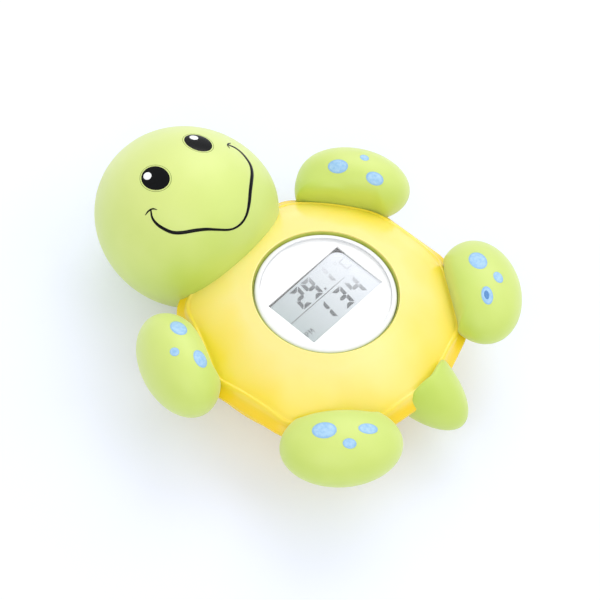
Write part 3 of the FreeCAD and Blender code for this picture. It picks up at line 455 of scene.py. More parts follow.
def makeTopShell():
    s = shellSizes
    angle = np.linspace(0, 2 * math.pi, s["around"], endpoint=False)
    rows = []

    def addRow(radius, height):
        radius = np.broadcast_to(radius, angle.shape)
        height = np.broadcast_to(height, angle.shape)
        rows.append(np.stack([radius * np.cos(angle), radius * np.sin(angle), height], axis=1))

    hole, lip, edge = s["holeRadius"], s["lipInset"], s["flangeRound"]
    addRow(hole, rimHeight - s["wall"] - 0.3)
    for out, drop in s["holeEdge"]:
        addRow(hole + out, rimHeight - drop)
    first = hole + 0.45
    last = outlineRadius(angle, lip + 1.6)
    for share in np.linspace(0, 1, s["domeRows"]):
        radius = first + (last - first) * share
        addRow(radius, domeHeight(radius))
    # the crease and the rounded bead that run round the dome
    for inset, lift in s["bead"]:
        radius = outlineRadius(angle, lip + inset)
        rise = lift * (s["beadHeight"] if lift > 0 else s["creaseDepth"])
        addRow(radius, domeHeight(radius) + rise)
    # the lip falls to the flange in a shallow curve
    lipHeight = domeHeight(outlineRadius(angle, lip - 0.55)) - 0.35
    for share in np.linspace(0, 1, s["lipRows"]):
        inset = lip - 0.62 - (lip - 0.62 - edge) * share ** 1.25
        addRow(outlineRadius(angle, inset), lipHeight + (s["flangeTop"] + edge - lipHeight) * share)
    top, low = s["flangeTop"], s["flangeLow"]
    for inset, height in ((0.04, top), (0.0, top - edge), (0.0, low + edge), (0.05, low + 0.03), (0.14, low),
                          (4.3, low), (4.5, low + 0.8)):
        addRow(outlineRadius(angle, inset), height)
    # the inside of the dome
    inner = outlineRadius(angle, 4.9)
    for share in (0.0, 0.33, 0.66):
        radius = inner + (hole + 0.4 - inner) * share
        addRow(radius, domeHeight(radius) - s["wall"])
    verts = np.concatenate(rows)
    faces = gridFaces(len(rows), s["around"], closeRows=True)
    newPiece("topShellMoulding", verts, faces, [yellow], stands=("top_shell",))


makeTopShell()
smoothCopy("bottomShellMoulding", "bottom_shell", yellow, sharpDeg=16)
print("shell made")


def cubeSphere(cells):
    # even directions all round, as a cube's grid pushed out to a ball
    index = {}
    dirs = []
    faces = []

    def vertex(a, b, c):
        key = (a, b, c)
        if key not in index:
            index[key] = len(dirs)
            dirs.append([math.tan((v / cells - 0.5) * math.pi / 2) for v in key])
        return index[key]

    for axis in range(3):
        for side in (0, cells):
            for i in range(cells):
                for j in range(cells):
                    quad = []
                    for p, q in ((i, j), (i + 1, j), (i + 1, j + 1), (i, j + 1)):
                        spot = [p, q]
                        spot.insert(axis, side)
                        quad.append(vertex(*spot))
                    flip = (side == 0) != (axis == 1)
                    faces.append(tuple(reversed(quad)) if flip else tuple(quad))
    dirs = np.array(dirs)
    return dirs / np.linalg.norm(dirs, axis=1)[:, None], faces


def ballReach(dirs, start, centre, radii, turn):
    # how far each direction runs from start to a turned ellipsoid
    local = dirs @ turn / radii
    offset = (np.asarray(start) - centre) @ turn / radii
    b = local @ offset
    a = (local * local).sum(-1)
    c = offset @ offset - 1
    return (-b + np.sqrt(np.maximum(b * b - a * c, 0))) / a


def lipReach(dirs, start, inset, steps=72, farthest=24.0):
    # how far each direction runs before it meets the shell's lip
    never = 1000.0
    reach = np.full(len(dirs), never)
    before = outlineDepth(np.asarray(start)[None, :2])[0]
    last = np.full(len(dirs), before)
    for k in range(1, steps + 1):
        t = farthest * k / steps
        depth = outlineDepth(start[:2] + dirs[:, :2] * t)
        hit = (depth >= inset) & (reach == never)
        share = np.clip((inset - last) / np.maximum(depth - last, 1e-6), 0, 1)
        reach = np.where(hit, t - farthest / steps * (1 - share), reach)
        last = depth
    return reach


def blendReach(first, second, firmness):
    # the nearer of two reaches, with the corner between them rounded; a higher firmness rounds it less
    return (first ** -firmness + second ** -firmness) ** (-1 / firmness)


def turnMatrix(yaw, pitch=0.0):
    spin = Matrix.Rotation(math.radians(yaw), 3, "Z") @ Matrix.Rotation(math.radians(pitch), 3, "Y")
    return np.array(spin)


headSizes = {
    "centreBack": 25.8,  # from the snout back to the middle
    "centreHeight": 23.3,
    "radii": (25.8, 24.2, 23.2),
    "backRadius": 40.0,
    "backGap": 22.1,  # from the middle back to the blunt rear
    "firmness": 14,
    "cells": 72,
}
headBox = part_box("head")
headCentre = np.array([headBox[1].x / mm - headSizes["centreBack"], 0.0, headSizes["centreHeight"]])


def headReach(dirs):
    s = headSizes
    egg = ballReach(dirs, headCentre, headCentre, np.array(s["radii"]), np.eye(3))
    backCentre = headCentre + np.array([s["backRadius"] - s["backGap"], 0, 0])
    back = ballReach(dirs, headCentre, backCentre, np.full(3, s["backRadius"]), np.eye(3))
    return blendReach(egg, back, s["firmness"])


def flipperShape(sizes, side):
    centre = np.array(sizes["centre"]) * np.array([1, side, 1])
    turn = turnMatrix(sizes["yaw"] * side)
    radii = np.array(sizes["radii"])

    def reach(dirs):
        egg = ballReach(dirs, centre, centre, radii, turn)
        if side == sizes.get("rootSide"):
            away, rootRadii = centre + sizes["rootAway"], np.array(sizes["rootRadii"])
            root = ballReach(dirs, centre, away, rootRadii, np.eye(3))
            egg = blendReach(egg, root, -sizes["rootFirmness"])  # below zero it takes the farther one
        lip = lipReach(dirs, centre, sizes["lipInset"])
        return blendReach(egg, lip, sizes["firmness"])

    return centre, reach


flipperSizes = {
    # the right one of the front pair is pressed on a little further forward, with a fuller root
    "front": {"centre": (18.0, 37.7, 22.8), "radii": (15.2, 9.6, 10.0), "yaw": -26.5, "lipInset": 2.3,
              "firmness": 8, "rootSide": -1, "rootAway": (2.4, 7.0, -1.0), "rootRadii": (10.4, 8.6, 8.0),
              "rootFirmness": 16},
    "back": {"centre": (-28.4, 30.4, 23.2), "radii": (15.6, 11.0, 8.0), "yaw": 45.0, "lipInset": 3.0,
             "firmness": 9},
    "cells": 44,
}
tailSizes = {
    "start": (-38.0, 0.0, 16.5),
    "centre": (-26.4, -0.3, 19.9),
    "radii": (20.8, 9.2, 9.0),
    "droop": -20.0,
    "lipInset": 3.2,
    "firmness": 8,
    "cells": 36,
}


def tailReach(dirs):
    s = tailSizes
    egg = ballReach(dirs, s["start"], np.array(s["centre"]), np.array(s["radii"]), turnMatrix(0, s["droop"]))
    lip = lipReach(dirs, np.array(s["start"]), s["lipInset"])
    return blendReach(egg, lip, s["firmness"])


def softPiece(name, node, centre, reach, cells):
    dirs, faces = cubeSphere(cells)
    verts = centre + dirs * reach(dirs)[:, None]
    newPiece(name, verts, faces, [vinyl], stands=(node,))


softPiece("headVinyl", "head", headCentre, headReach, headSizes["cells"])
limbShapes = {}
for end in ("front", "back"):
    for side, word in ((1, "left"), (-1, "right")):
        centre, reach = flipperShape(flipperSizes[end], side)
        limbShapes[end, side] = (centre, reach)
        softPiece(f"{end}{word.capitalize()}FlipperVinyl", f"{end}_{word}_flipper", centre, reach,
                  flipperSizes["cells"])
softPiece("tailVinyl", "tail", np.array(tailSizes["start"]), tailReach, tailSizes["cells"])
print("soft parts made")


printSizes = {
    "tallest": 40.0,  # no soft part stands higher than this over its middle
    "probe": 0.05,  # step at which a surface's slope is felt
    "sunk": 0.012,  # how far a print's edge dips into the vinyl
    "strokeSunk": 0.02,
    "rimFrom": 0.72,  # share of an oval's size at which its deeper rim begins
}


def topOf(reach, x, y):
    # the upper surface point of a soft piece above a plan point, both relative to the piece's middle
    x, y = np.atleast_1d(x).astype(float), np.atleast_1d(y).astype(float)
    low, high = np.zeros(len(x)), np.full(len(x), printSizes["tallest"])
    for _ in range(34):
        z = (low + high) / 2
        offset = np.stack([x, y, z], axis=1)
        length = np.linalg.norm(offset, axis=1)
        inside = length < reach(offset / length[:, None])
        low = np.where(inside, z, low)
        high = np.where(inside, high, z)
    return np.stack([x, y, (low + high) / 2], axis=1)


def onSurface(reach, offsets):
    # points moved along their own directions until they lie on the soft piece
    length = np.linalg.norm(offsets, axis=1)[:, None]
    dirs = offsets / length
    return dirs * reach(dirs)[:, None]


def surfaceNormal(reach, offsets):
    step = printSizes["probe"]
    near = offsets / np.linalg.norm(offsets, axis=1)[:, None]
    aside = np.cross(near, [0.3, 0.5, 0.81])  # any direction that no print faces does
    aside /= np.linalg.norm(aside, axis=1)[:, None]
    other = np.cross(near, aside)
    first = onSurface(reach, offsets + aside * step) - onSurface(reach, offsets - aside * step)
    second = onSurface(reach, offsets + other * step) - onSurface(reach, offsets - other * step)
    normal = np.cross(first, second)
    normal /= np.linalg.norm(normal, axis=1)[:, None]
    return np.where((normal * near).sum(1)[:, None] < 0, -normal, normal)


def ovalOn(centre, reach, x, y, along, across, turn, height, rings=8, around=64, hollow=0.0):
    # a thin oval of ink or paint that hugs a soft piece; returns rows of points and the rim weight
    middle = topOf(reach, x, y)
    up = surfaceNormal(reach, middle)[0]
    fore = np.array([math.cos(math.radians(turn)), math.sin(math.radians(turn)), 0.0])
    fore -= up * (fore @ up)
    fore /= np.linalg.norm(fore)
    left = np.cross(up, fore)
    angle = np.linspace(0, 2 * math.pi, around, endpoint=False)
    verts, rim = [], []
    start = hollow if hollow else 0.02
    sunk, rimFrom = printSizes["sunk"], printSizes["rimFrom"]
    for share in np.linspace(start, 1, rings):
        flat = middle + fore * (along * share * np.cos(angle))[:, None] \
            + left * (across * share * np.sin(angle))[:, None]
        spot = onSurface(reach, flat)
        edge = (share - start) / (1 - start)
        fall = (2 * edge - 1) ** 4 if hollow else edge ** 6
        lift = height * (1 - fall) - sunk * fall
        verts.append(spot + surfaceNormal(reach, spot) * lift)
        rim += [max(0.0, (share - rimFrom) / (1 - rimFrom))] * around
    verts = np.concatenate(verts) + centre
    faces = gridFaces(rings, around)
    if not hollow:
        faces.append(tuple(reversed(range(around))))
    return verts, [tuple(reversed(f)) for f in faces], rim


def printPiece(name, parts, mat):
    # ovals and strokes joined in one piece, with their rim weights
    verts, faces, rim = [], [], []
    for part in parts:
        start = sum(len(v) for v in verts)
        verts.append(part[0])
        faces += [tuple(i + start for i in f) for f in part[1]]
        rim += part[2]
    verts = np.concatenate(verts)
    obj = newPiece(name, verts, faces, [mat])
    layer = obj.data.attributes.new("rim", "FLOAT", "POINT")
    layer.data.foreach_set("value", rim)
    faceOut(obj)


def faceOut(obj):
    # turns a thin print over where its faces look down and inwards
    mesh = obj.data
    middle = Vector(np.array([v.co for v in mesh.vertices]).mean(0))
    facing = mesh.polygons[len(mesh.polygons) // 2].normal
    if middle.dot(facing) < 0 and facing.z < 0:
        mesh.flip_normals()


faceSizes = {
    "turn": -5.0,  # the head sits a little turned on the neck
    "shift": 0.8,
    "eye": (4.7, 8.0),
    "eyeRadii": (4.45, 3.45),
    "eyeTurn": 10.0,
    "ringGap": 0.3,
    "ringWidth": 0.14,
    "glint": (2.1, 0.6),
    "glintRadii": (1.35, 1.2),
    # half of the smile, from the mouth's corner in to the middle line; then the ink's width along all of it
    "smile": [(-0.15, 14.45), (-1.75, 15.45), (-3.95, 15.7), (-6.5, 15.2), (-8.45, 14.35), (-10.3, 12.75),
              (-12.2, 10.4), (-13.9, 8.2), (-15.8, 5.8), (-17.25, 3.45), (-17.9, 1.2)],
    "smileWidth": [0.45, 0.85, 0.95, 0.95, 0.7, 0.6, 0.8, 1.15, 1.2, 1.15, 1.0, 0.8],
    "cheek": [(0.35, 15.9), (0.25, 14.9), (-0.35, 14.0), (-1.5, 13.5)],
    "cheekWidth": [0.2, 0.45, 0.5, 0.4, 0.15],
    "inkHeight": 0.05,
    "ringHeight": 0.03,
    "glintHeight": 0.1,
}


def facePlan(x, y):
    # from the face's own plan to the head's
    turn = math.radians(faceSizes["turn"])
    y = y + faceSizes["shift"]
    return x * math.cos(turn) - y * math.sin(turn), x * math.sin(turn) + y * math.cos(turn)


def curveThrough(points, steps):
    # a Catmull-Rom curve through given points
    points = np.array(points, float)
    ends = np.concatenate([[2 * points[0] - points[1]], points, [2 * points[-1] - points[-2]]])
    out = []
    for i in range(1, len(ends) - 2):
        a, b, c, d = ends[i - 1], ends[i], ends[i + 1], ends[i + 2]
        for t in np.linspace(0, 1, steps, endpoint=False):
            out.append(0.5 * (2 * b + (c - a) * t + (2 * a - 5 * b + 4 * c - d) * t ** 2
                              + (3 * b - a - 3 * c + d) * t ** 3))
    out.append(points[-1])
    return np.array(out)


def inkStroke(points, widths, steps=14):
    # a drawn line of changing width, crowned a little, that hugs the head
    line = curveThrough(points, steps)
    plan = np.array([facePlan(x, y) for x, y in line])
    spots = topOf(headReach, plan[:, 0], plan[:, 1])
    normals = surfaceNormal(headReach, spots)
    along = np.gradient(spots, axis=0)
    side = np.cross(normals, along)
    side /= np.linalg.norm(side, axis=1)[:, None]
    length = np.concatenate([[0], np.cumsum(np.linalg.norm(np.diff(spots, axis=0), axis=1))])
    share = length / length[-1]
    half = np.interp(share, np.linspace(0, 1, len(widths)), widths)[:, None] / 2
    height, sunk = faceSizes["inkHeight"], printSizes["strokeSunk"]
    rows = []
    for across, lift in ((-1, -sunk), (-0.85, height * 0.8), (0, height), (0.85, height * 0.8), (1, -sunk)):
        rows.append(spots + side * half * across + normals * lift)
    count = len(spots)
    verts = np.concatenate(rows) + headCentre
    faces = []
    for r in range(len(rows) - 1):
        for k in range(count - 1):
            low, high = r * count + k, (r + 1) * count + k
            faces.append((low, low + 1, high + 1, high))
    return verts, faces, [0.0] * len(verts)


def makeFace():
    s = faceSizes
    halfSmile = s["smile"]
    whole = halfSmile + [(x, -y) for x, y in reversed(halfSmile)]
    strokes = [inkStroke(whole, s["smileWidth"])]
    for side in (1, -1):
        strokes.append(inkStroke([(x, y * side) for x, y in s["cheek"]], s["cheekWidth"]))
    printPiece("smilePrint", strokes, inkBlack)
    black, glints, rings = [], [], []
    for side in (1, -1):
        turn = s["turn"] + s["eyeTurn"] * side
        x, y = facePlan(s["eye"][0], s["eye"][1] * side)
        black.append(ovalOn(headCentre, headReach, x, y, *s["eyeRadii"], turn, s["inkHeight"]))
        outer = [r + s["ringGap"] for r in s["eyeRadii"]]
        rings.append(ovalOn(headCentre, headReach, x, y, *outer, turn, s["ringHeight"], rings=7, around=96,
                            hollow=1 - s["ringWidth"] / outer[1]))
        x, y = facePlan(s["eye"][0] + s["glint"][0], (s["eye"][1] + s["glint"][1]) * side)
        glints.append(ovalOn(headCentre, headReach, x, y, *s["glintRadii"], s["turn"], s["glintHeight"]))
    printPiece("eyePrint", black, inkBlack)
    printPiece("eyeRingPrint", rings, inkOlive)
    printPiece("eyeGlintPrint", glints, inkWhite)


# plan place relative to the flipper's middle, half sizes and turn of each spot
spotSizes = {
    "front": [((3.5, -4.1), (2.9, 2.2), -30), ((-0.5, 2.5), (1.3, 1.2), 0), ((-6.4, -0.6), (2.6, 1.9), -20)],
    "back": [((3.9, 3.1), (3.3, 2.5), 35), ((-3.3, 2.1), (1.8, 1.4), 35), ((-4.3, -4.4), (2.7, 1.6), 45)],
    "height": 0.05,
    "pool": ((-4.1, 4.4), (1.5, 0.8), -45),
    "poolRise": 0.03,
}


def makeSpots():
    for end in ("front", "back"):
        for side, word in ((1, "Left"), (-1, "Right")):
            centre, reach = limbShapes[end, side]
            ovals = []
            for (x, y), radii, turn in spotSizes[end]:
                ovals.append(ovalOn(centre, reach, x, y * side, *radii, turn * side, spotSizes["height"]))
            printPiece(f"{end}{word}Spots", ovals, spotBlue)
    # one spot on the right hind flipper holds a pool of thicker, deeper paint
    (x, y), radii, turn = spotSizes["pool"]
    height = spotSizes["height"] + spotSizes["poolRise"]
    pool = ovalOn(*limbShapes["back", -1], x, y, *radii, turn, height)
    printPiece("backRightPaintPool", [pool], paintDeepBlue)


makeFace()
makeSpots()
print("face and spots made")


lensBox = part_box("display_lens")
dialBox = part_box("dial_plate")
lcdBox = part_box("lcd_glass")


def turnedPiece(name, profile, mat, around=160, stands=()):
    # a solid of revolution from a profile of radius and height, which starts and ends on the axis
    angle = np.linspace(0, 2 * math.pi, around, endpoint=False)
    rings = profile[1:-1]
    rows = [np.stack([r * np.cos(angle), r * np.sin(angle), np.full(around, z)], axis=1) for r, z in rings]
    faces = gridFaces(len(rows), around)
    low, high = len(rows) * around, len(rows) * around + 1
    for k in range(around):
        n = (k + 1) % around
        faces.append((n, k, low))
        faces.append((low - around + k, low - around + n, high))
    verts = np.concatenate(rows + [[(0, 0, profile[0][1])], [(0, 0, profile[-1][1])]])
    obj = newPiece(name, verts, faces, [mat], stands=stands)
    obj.data.set_sharp_from_angle(angle=math.radians(25))
    return obj


lensSizes = {
    "airGap": 0.04,  # a hair of air over the dial
    "rimWidth": 1.4, "rimLow": 0.05,  # the part of the edge that is moulded on in white
    "foot": [(0.7, 0.0), (0.5, 0.0), (0.15, 0.1), (0.0, 0.35)],  # step inwards and height over the underside
    # step inwards and drop from the top; the last ones keep the flat middle's shading flat
    "crown": [(0.0, 0.75), (0.12, 0.4), (0.4, 0.15), (0.8, 0.04), (1.2, 0.0), (1.35, 0.02), (1.5, 0.06),
              (1.7, 0.06), (2.2, 0.06)],
}


def makeLens():
    # a flat clear disc with a rounded edge and a shallow step inside it
    s = lensSizes
    low, high = lensBox[0].z / mm + s["airGap"], lensBox[1].z / mm
    radius = lensBox[1].x / mm
    profile = [(0, low)]
    profile += [(radius - inwards, low + rise) for inwards, rise in s["foot"]]
    profile += [(radius - inwards, high - drop) for inwards, drop in s["crown"]]
    profile.append((0, profile[-1][1]))
    lens = turnedPiece("displayLens", profile, acrylic, stands=("display_lens",))
    lens.data.materials.append(whiteAbs)
    for face in lens.data.polygons:
        out = math.hypot(face.center.x, face.center.y)
        if out > (radius - s["rimWidth"]) * mm and face.center.z > (low + s["rimLow"]) * mm:
            face.material_index = 1


makeLens()
smoothCopy("displayCradle", "display_cradle", cradleGreen)
smoothCopy("moduleHousing", "module_housing", whiteAbs)
smoothCopy("dialPlate", "dial_plate", dialWhite)
dress(lcdGlass, "lcd_glass")

digitSizes = {
    "turn": -5.0,  # the whole module sits a little turned
    "left": 13.3, "front": 7.95,  # where the signs' own plan starts: x runs to the right, y down
    "height": 6.1, "width": 3.45, "bar": 1.05, "gap": 0.24, "slant": 0.16,
    "ink": 0.03, "lift": 0.005,  # thickness, and air over the glass
    # each row's top, then its digits and their left edges
    "rows": [(0.95, (("2", 5.9), ("9", 10.2), ("1", 15.3))), (8.6, (("1", 7.3), ("3", 13.8), ("4", 18.6)))],
    "point": (14.5, 6.25, 15.1, 6.85),
    "rowLine": (0.05, 7.55, 21.2, 7.77),
    "degree": (22.5, 3.0), "degreeRadii": (0.28, 0.45), "degreeSides": 12,
    "celsius": [(23.5, 3.3, 25.1, 3.7), (23.3, 3.6, 23.7, 6.3), (23.5, 6.2, 25.1, 6.6)],
    # the small afternoon mark, of upright and level bars and two slanted ones
    "markBars": [(0.6, 12.0, 0.8, 13.5), (0.6, 12.0, 1.5, 12.2), (1.3, 12.0, 1.5, 12.85),
                 (0.6, 12.65, 1.5, 12.85), (1.9, 12.0, 2.1, 13.5), (2.9, 12.0, 3.1, 13.5)],
    "markSlants": [[(1.9, 12.0), (2.15, 12.0), (2.55, 12.85), (2.4, 13.05)],
                   [(3.1, 12.0), (2.85, 12.0), (2.45, 12.85), (2.6, 13.05)]],
}
segmentsOf = {"1": "bc", "2": "abged", "3": "abgcd", "4": "fgbc", "9": "abcdfg"}


def segmentOutline(which):
    # one mitred bar of a seven-bar digit, in a box of the digit's width and height
    w, h, bar, gap = (digitSizes[k] for k in ("width", "height", "bar", "gap"))
    half, mid = bar / 2, h / 2
    if which in "ad":
        outline = [(gap, 0), (w - gap, 0), (w - bar - gap, bar), (bar + gap, bar)]
        return outline if which == "a" else [(x, h - y) for x, y in outline]
    if which == "g":
        return [(half, mid), (bar, mid - half), (w - bar, mid - half), (w - half, mid), (w - bar, mid + half),
                (bar, mid + half)]
    outline = [(w, gap), (w, mid - gap), (w - half, mid - gap), (w - bar, mid - half * 0.7 - gap),
               (w - bar, bar * 0.8 + gap)]
    if which in "ce":
        outline = [(x, h - y) for x, y in outline]
    return [(w - x, y) for x, y in outline] if which in "fe" else outline


def boxOutline(x0, y0, x1, y1):
    return [(x0, y0), (x1, y0), (x1, y1), (x0, y1)]


def lcdOutlines():
    # every dark shape of the display, in the signs' own plan
    s = digitSizes
    shapes = []
    for top, digits in s["rows"]:
        for digit, x in digits:
            for which in segmentsOf[digit]:
                shapes.append([(x + px + s["slant"] * (s["height"] - py), top + py)
                               for px, py in segmentOutline(which)])
    shapes += [boxOutline(*s["point"]), boxOutline(*s["rowLine"])]
    step = 2 * math.pi / s["degreeSides"]
    (x, y), (inner, outer) = s["degree"], s["degreeRadii"]
    for k in range(s["degreeSides"]):
        a, b = step * k, step * (k + 1)
        ring = [(inner, a), (outer, a), (outer, b), (inner, b)]
        shapes.append([(x + r * math.cos(t), y + r * math.sin(t)) for r, t in ring])
    shapes += [boxOutline(*box) for box in s["celsius"] + s["markBars"]]
    return shapes + s["markSlants"]


def turnedPlan(x, y):
    # turns a plan point as the module is turned
    turn = math.radians(digitSizes["turn"])
    return x * math.cos(turn) - y * math.sin(turn), x * math.sin(turn) + y * math.cos(turn)


def makeDigits():
    s = digitSizes
    low = lcdBox[1].z / mm + s["lift"]
    verts, faces = [], []
    for shape in lcdOutlines():
        n, start = len(shape), len(verts)
        for z in (low, low + s["ink"]):
            verts += [(*turnedPlan(s["front"] - y, s["left"] - x), z) for x, y in shape]
        faces.append(tuple(range(start + n, start + 2 * n)))
        faces.append(tuple(reversed(range(start, start + n))))
        for k in range(n):
            m = (k + 1) % n
            faces.append((start + k, start + m, start + n + m, start + n + k))
    obj = newPiece("lcdDigits", verts, faces, [lcdInk], smooth=False)
    work = bmesh.new()
    work.from_mesh(obj.data)
    bmesh.ops.recalc_face_normals(work, faces=work.faces)
    work.to_mesh(obj.data)
    work.free()


makeDigits()

gasketSizes = {
    "outer": (8.4, 13.55),
    "dialGap": 0.01, "glassGap": 0.002,
    # place of each inner corner and its rounding, anticlockwise; the first peeps out under the dial as a dark
    # corner, and the edge from the first to the second slants so that a tapering dark line shows along the
    # window's front edge, a painted shadow of the dial's edge on the glass
    "corners": [(7.85, -13.2, 3.2), (7.5, 13.28, 0.2), (-7.98, 13.34, 0.2), (-7.98, -13.34, 0.2)],
    "steps": 8,
}


def makeGasket():
    # black foam frame between the display glass and the dial; the sliver of it seen along the window's front
    # edge stands in for shadow
    s = gasketSizes
    top = dialBox[0].z / mm - s["dialGap"]
    low = lcdBox[1].z / mm + s["glassGap"]
    inner, rim = [], []
    for i, (x, y, bend) in enumerate(s["corners"]):
        sx, sy = math.copysign(1, x), math.copysign(1, y)
        for k in range(s["steps"] + 1):
            turn = math.radians(90 * (i - 1) + 90 * k / s["steps"])
            inner.append((x - sx * bend + bend * math.cos(turn), y - sy * bend + bend * math.sin(turn)))
            rim.append((sx * s["outer"][0], sy * s["outer"][1]))
    n = len(inner)
    verts = [(*turnedPlan(x, y), z) for ring in (inner, rim) for z in (low, top) for x, y in ring]
    faces = []
    for k in range(n):
        m = (k + 1) % n
        faces.append((n + k, n + m, 3 * n + m, 3 * n + k))
        faces.append((k, m, n + m, n + k))
    newPiece("lcdGasket", verts, faces, [blackFoam], smooth=False)


makeGasket()
print("display made")


smoothCopy("batteryCover", "battery_cover", whiteAbs, "battery_cover")
smoothCopy("setButton", "set_button", greyPlastic, "set_button")
smoothCopy("modeButton", "mode_button", greyPlastic, "mode_button")
smoothCopy("probeCap", "probe_cap", steel)

screwSizes = {
    "headRadius": 2.08, "headHeight": 1.6,
    "headEdge": [(0.12, 0.1), (0.0, 0.35)],  # rounding of the head's outer face: step inwards and height
    "underEdge": 0.1,
    "flatEdge": 0.35,  # the flat face with the recess ends this far from the head's side
    "slotHalfWidth": 0.28, "slotReach": 1.15, "slotDepth": 0.8,
    "slotEdge": 0.12, "slotEnd": 0.2,  # how softly the recess starts at its sides and ends
    "shankRadius": 1.2, "threadDepth": 0.22, "pitch": 1.0,
    "plainNeck": 0.6, "plainEnd": 2.2,  # lengths without thread under the head and at the point
    "pointLength": 1.4, "pointRadius": 0.25, "pointStep": 0.3,
    "around": 64, "headRows": 18,
    "turnStep": 37.0,  # each screw stops at its own turn
}


def screwPattern():
    # one pan-head screw, head down, with a cross recess and rings for its thread
    s = screwSizes
    low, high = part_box("shell_screws")
    length = (high.z - low.z) / mm
    head, top, shank, around = s["headRadius"], s["headHeight"], s["shankRadius"], s["around"]
    root = shank - s["threadDepth"]
    angle = np.linspace(0, 2 * math.pi, around, endpoint=False)
    c, d = np.cos(angle), np.sin(angle)

    def slotArm(across, along):
        beside = np.clip((s["slotHalfWidth"] - across) / s["slotEdge"] + 0.5, 0, 1)
        return beside * np.clip((s["slotReach"] - along) / s["slotEnd"], 0, 1)

    rows = []
    for r in np.linspace(0.08, head - s["flatEdge"], s["headRows"]):
        x, y = np.abs(r * c), np.abs(r * d)
        cut = np.maximum(slotArm(x, y), slotArm(y, x))
        rows.append(np.stack([r * c, r * d, s["slotDepth"] * cut], axis=1))
    outline = [(head - inwards, height) for inwards, height in s["headEdge"]]
    outline += [(head, top - s["underEdge"]), (head - s["underEdge"], top), (shank, top)]
    z = top + s["plainNeck"]
    while z < length - s["plainEnd"]:
        outline += [(root, z), (shank, z + s["pitch"] / 2)]
        z += s["pitch"]
    outline += [(root, z), (shank - s["pointStep"], length - s["pointLength"]), (s["pointRadius"], length)]
    for r, z in outline:
        rows.append(np.stack([r * c, r * d, np.full(around, z)], axis=1))
    verts = np.concatenate(rows)
    faces = gridFaces(len(rows), around)
    faces.append(tuple(reversed(range(around))))
    faces.append(tuple(range(len(verts) - around, len(verts))))
    mesh = bpy.data.meshes.new("screwPattern")
    mesh.from_pydata([tuple(v * mm) for v in verts], [], faces)
    mesh.polygons.foreach_set("use_smooth", [True] * len(mesh.polygons))
    mesh.set_sharp_from_angle(angle=math.radians(30))
    mesh.update()
    return bpy.data.objects.new("screwPattern", mesh)


def repeatTree():
    # named inputs: what is set on each point, the turn from one to the next and the material
    tree = bpy.data.node_groups.new("setOnPoints", "GeometryNodeTree")
    face = tree.interface
    face.new_socket("Points", in_out="INPUT", socket_type="NodeSocketGeometry")
    face.new_socket("Pattern", in_out="INPUT", socket_type="NodeSocketObject")
    face.new_socket("Turn Step", in_out="INPUT", socket_type="NodeSocketFloat")
    face.new_socket("Finish", in_out="INPUT", socket_type="NodeSocketMaterial")
    face.new_socket("Result", in_out="OUTPUT", socket_type="NodeSocketGeometry")
    start = addNode(tree, "NodeGroupInput")
    points = addNode(tree, "GeometryNodeMeshToPoints", {}, {"Mesh": start.outputs["Points"]})
    shape = addNode(tree, "GeometryNodeObjectInfo", {}, {"Object": start.outputs["Pattern"]})
    index = addNode(tree, "GeometryNodeInputIndex")
    turn = addNode(tree, "ShaderNodeMath", {"operation": "MULTIPLY"},
                   {0: index.outputs[0], 1: start.outputs["Turn Step"]})
    spin = addNode(tree, "ShaderNodeCombineXYZ", {}, {"Z": turn.outputs[0]})
    put = addNode(tree, "GeometryNodeInstanceOnPoints", {}, {
        "Points": points.outputs[0], "Instance": shape.outputs["Geometry"], "Rotation": spin.outputs[0]})
    real = addNode(tree, "GeometryNodeRealizeInstances", {}, {"Geometry": put.outputs[0]})
    finish = addNode(tree, "GeometryNodeSetMaterial", {}, {
        "Geometry": real.outputs[0], "Material": start.outputs["Finish"]})
    end = addNode(tree, "NodeGroupOutput")
    tree.links.new(finish.outputs[0], end.inputs["Result"])
    return tree


def makeScrews():
    # the four screws, set on points at the middles of the CAD ones
    low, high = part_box("shell_screws")
    x, y = high.x - screwSizes["headRadius"] * mm, high.y - screwSizes["headRadius"] * mm
    holderMesh = bpy.data.meshes.new("screwPoints")
    holderMesh.from_pydata([(x, y, low.z), (x, -y, low.z), (-x, y, low.z), (-x, -y, low.z)], [], [])
    holder = bpy.data.objects.new("screwPoints", holderMesh)
    pattern = screwPattern()
    for obj in (holder, pattern):
        bpy.context.scene.collection.objects.link(obj)
    tree = repeatTree()
    mod = holder.modifiers.new("screws", "NODES")
    mod.node_group = tree
    values = {"Pattern": pattern, "Turn Step": math.radians(screwSizes["turnStep"]), "Finish": steel}
    for item in tree.interface.items_tree:
        if item.in_out == "INPUT" and item.name in values:
            mod[item.identifier] = values[item.name]
    bpy.context.view_layer.update()
    mesh = bpy.data.meshes.new_from_object(holder.evaluated_get(bpy.context.evaluated_depsgraph_get()))
    holder.modifiers.remove(mod)
    for obj in (holder, pattern):
        bpy.data.objects.remove(obj)
    mesh.name = "shellScrews"
    screws = bpy.data.objects.new("shellScrews", mesh)
    bpy.context.scene.collection.objects.link(screws)
    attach(screws, "turtle")
    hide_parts("shell_screws")
    print("screws set:", len(mesh.vertices), "vertices")


makeScrews()
dress(sealRubber, "shell_seal", "button_seals", "cover_seal")
dress(blackPlastic, "lcd_holder", "set_switch_stem", "mode_switch_stem", "controller_chip", "capacitors",
      "thermistor")
dress(zebraRubber, "contact_strips")
dress(boardGreen, "circuit_board")
dress(steel, "board_screws", "switch_cases", "button_cells", "quartz_crystal")
dress(bronze, "cover_contact", "cell_top_contact")
print("underside dressed")


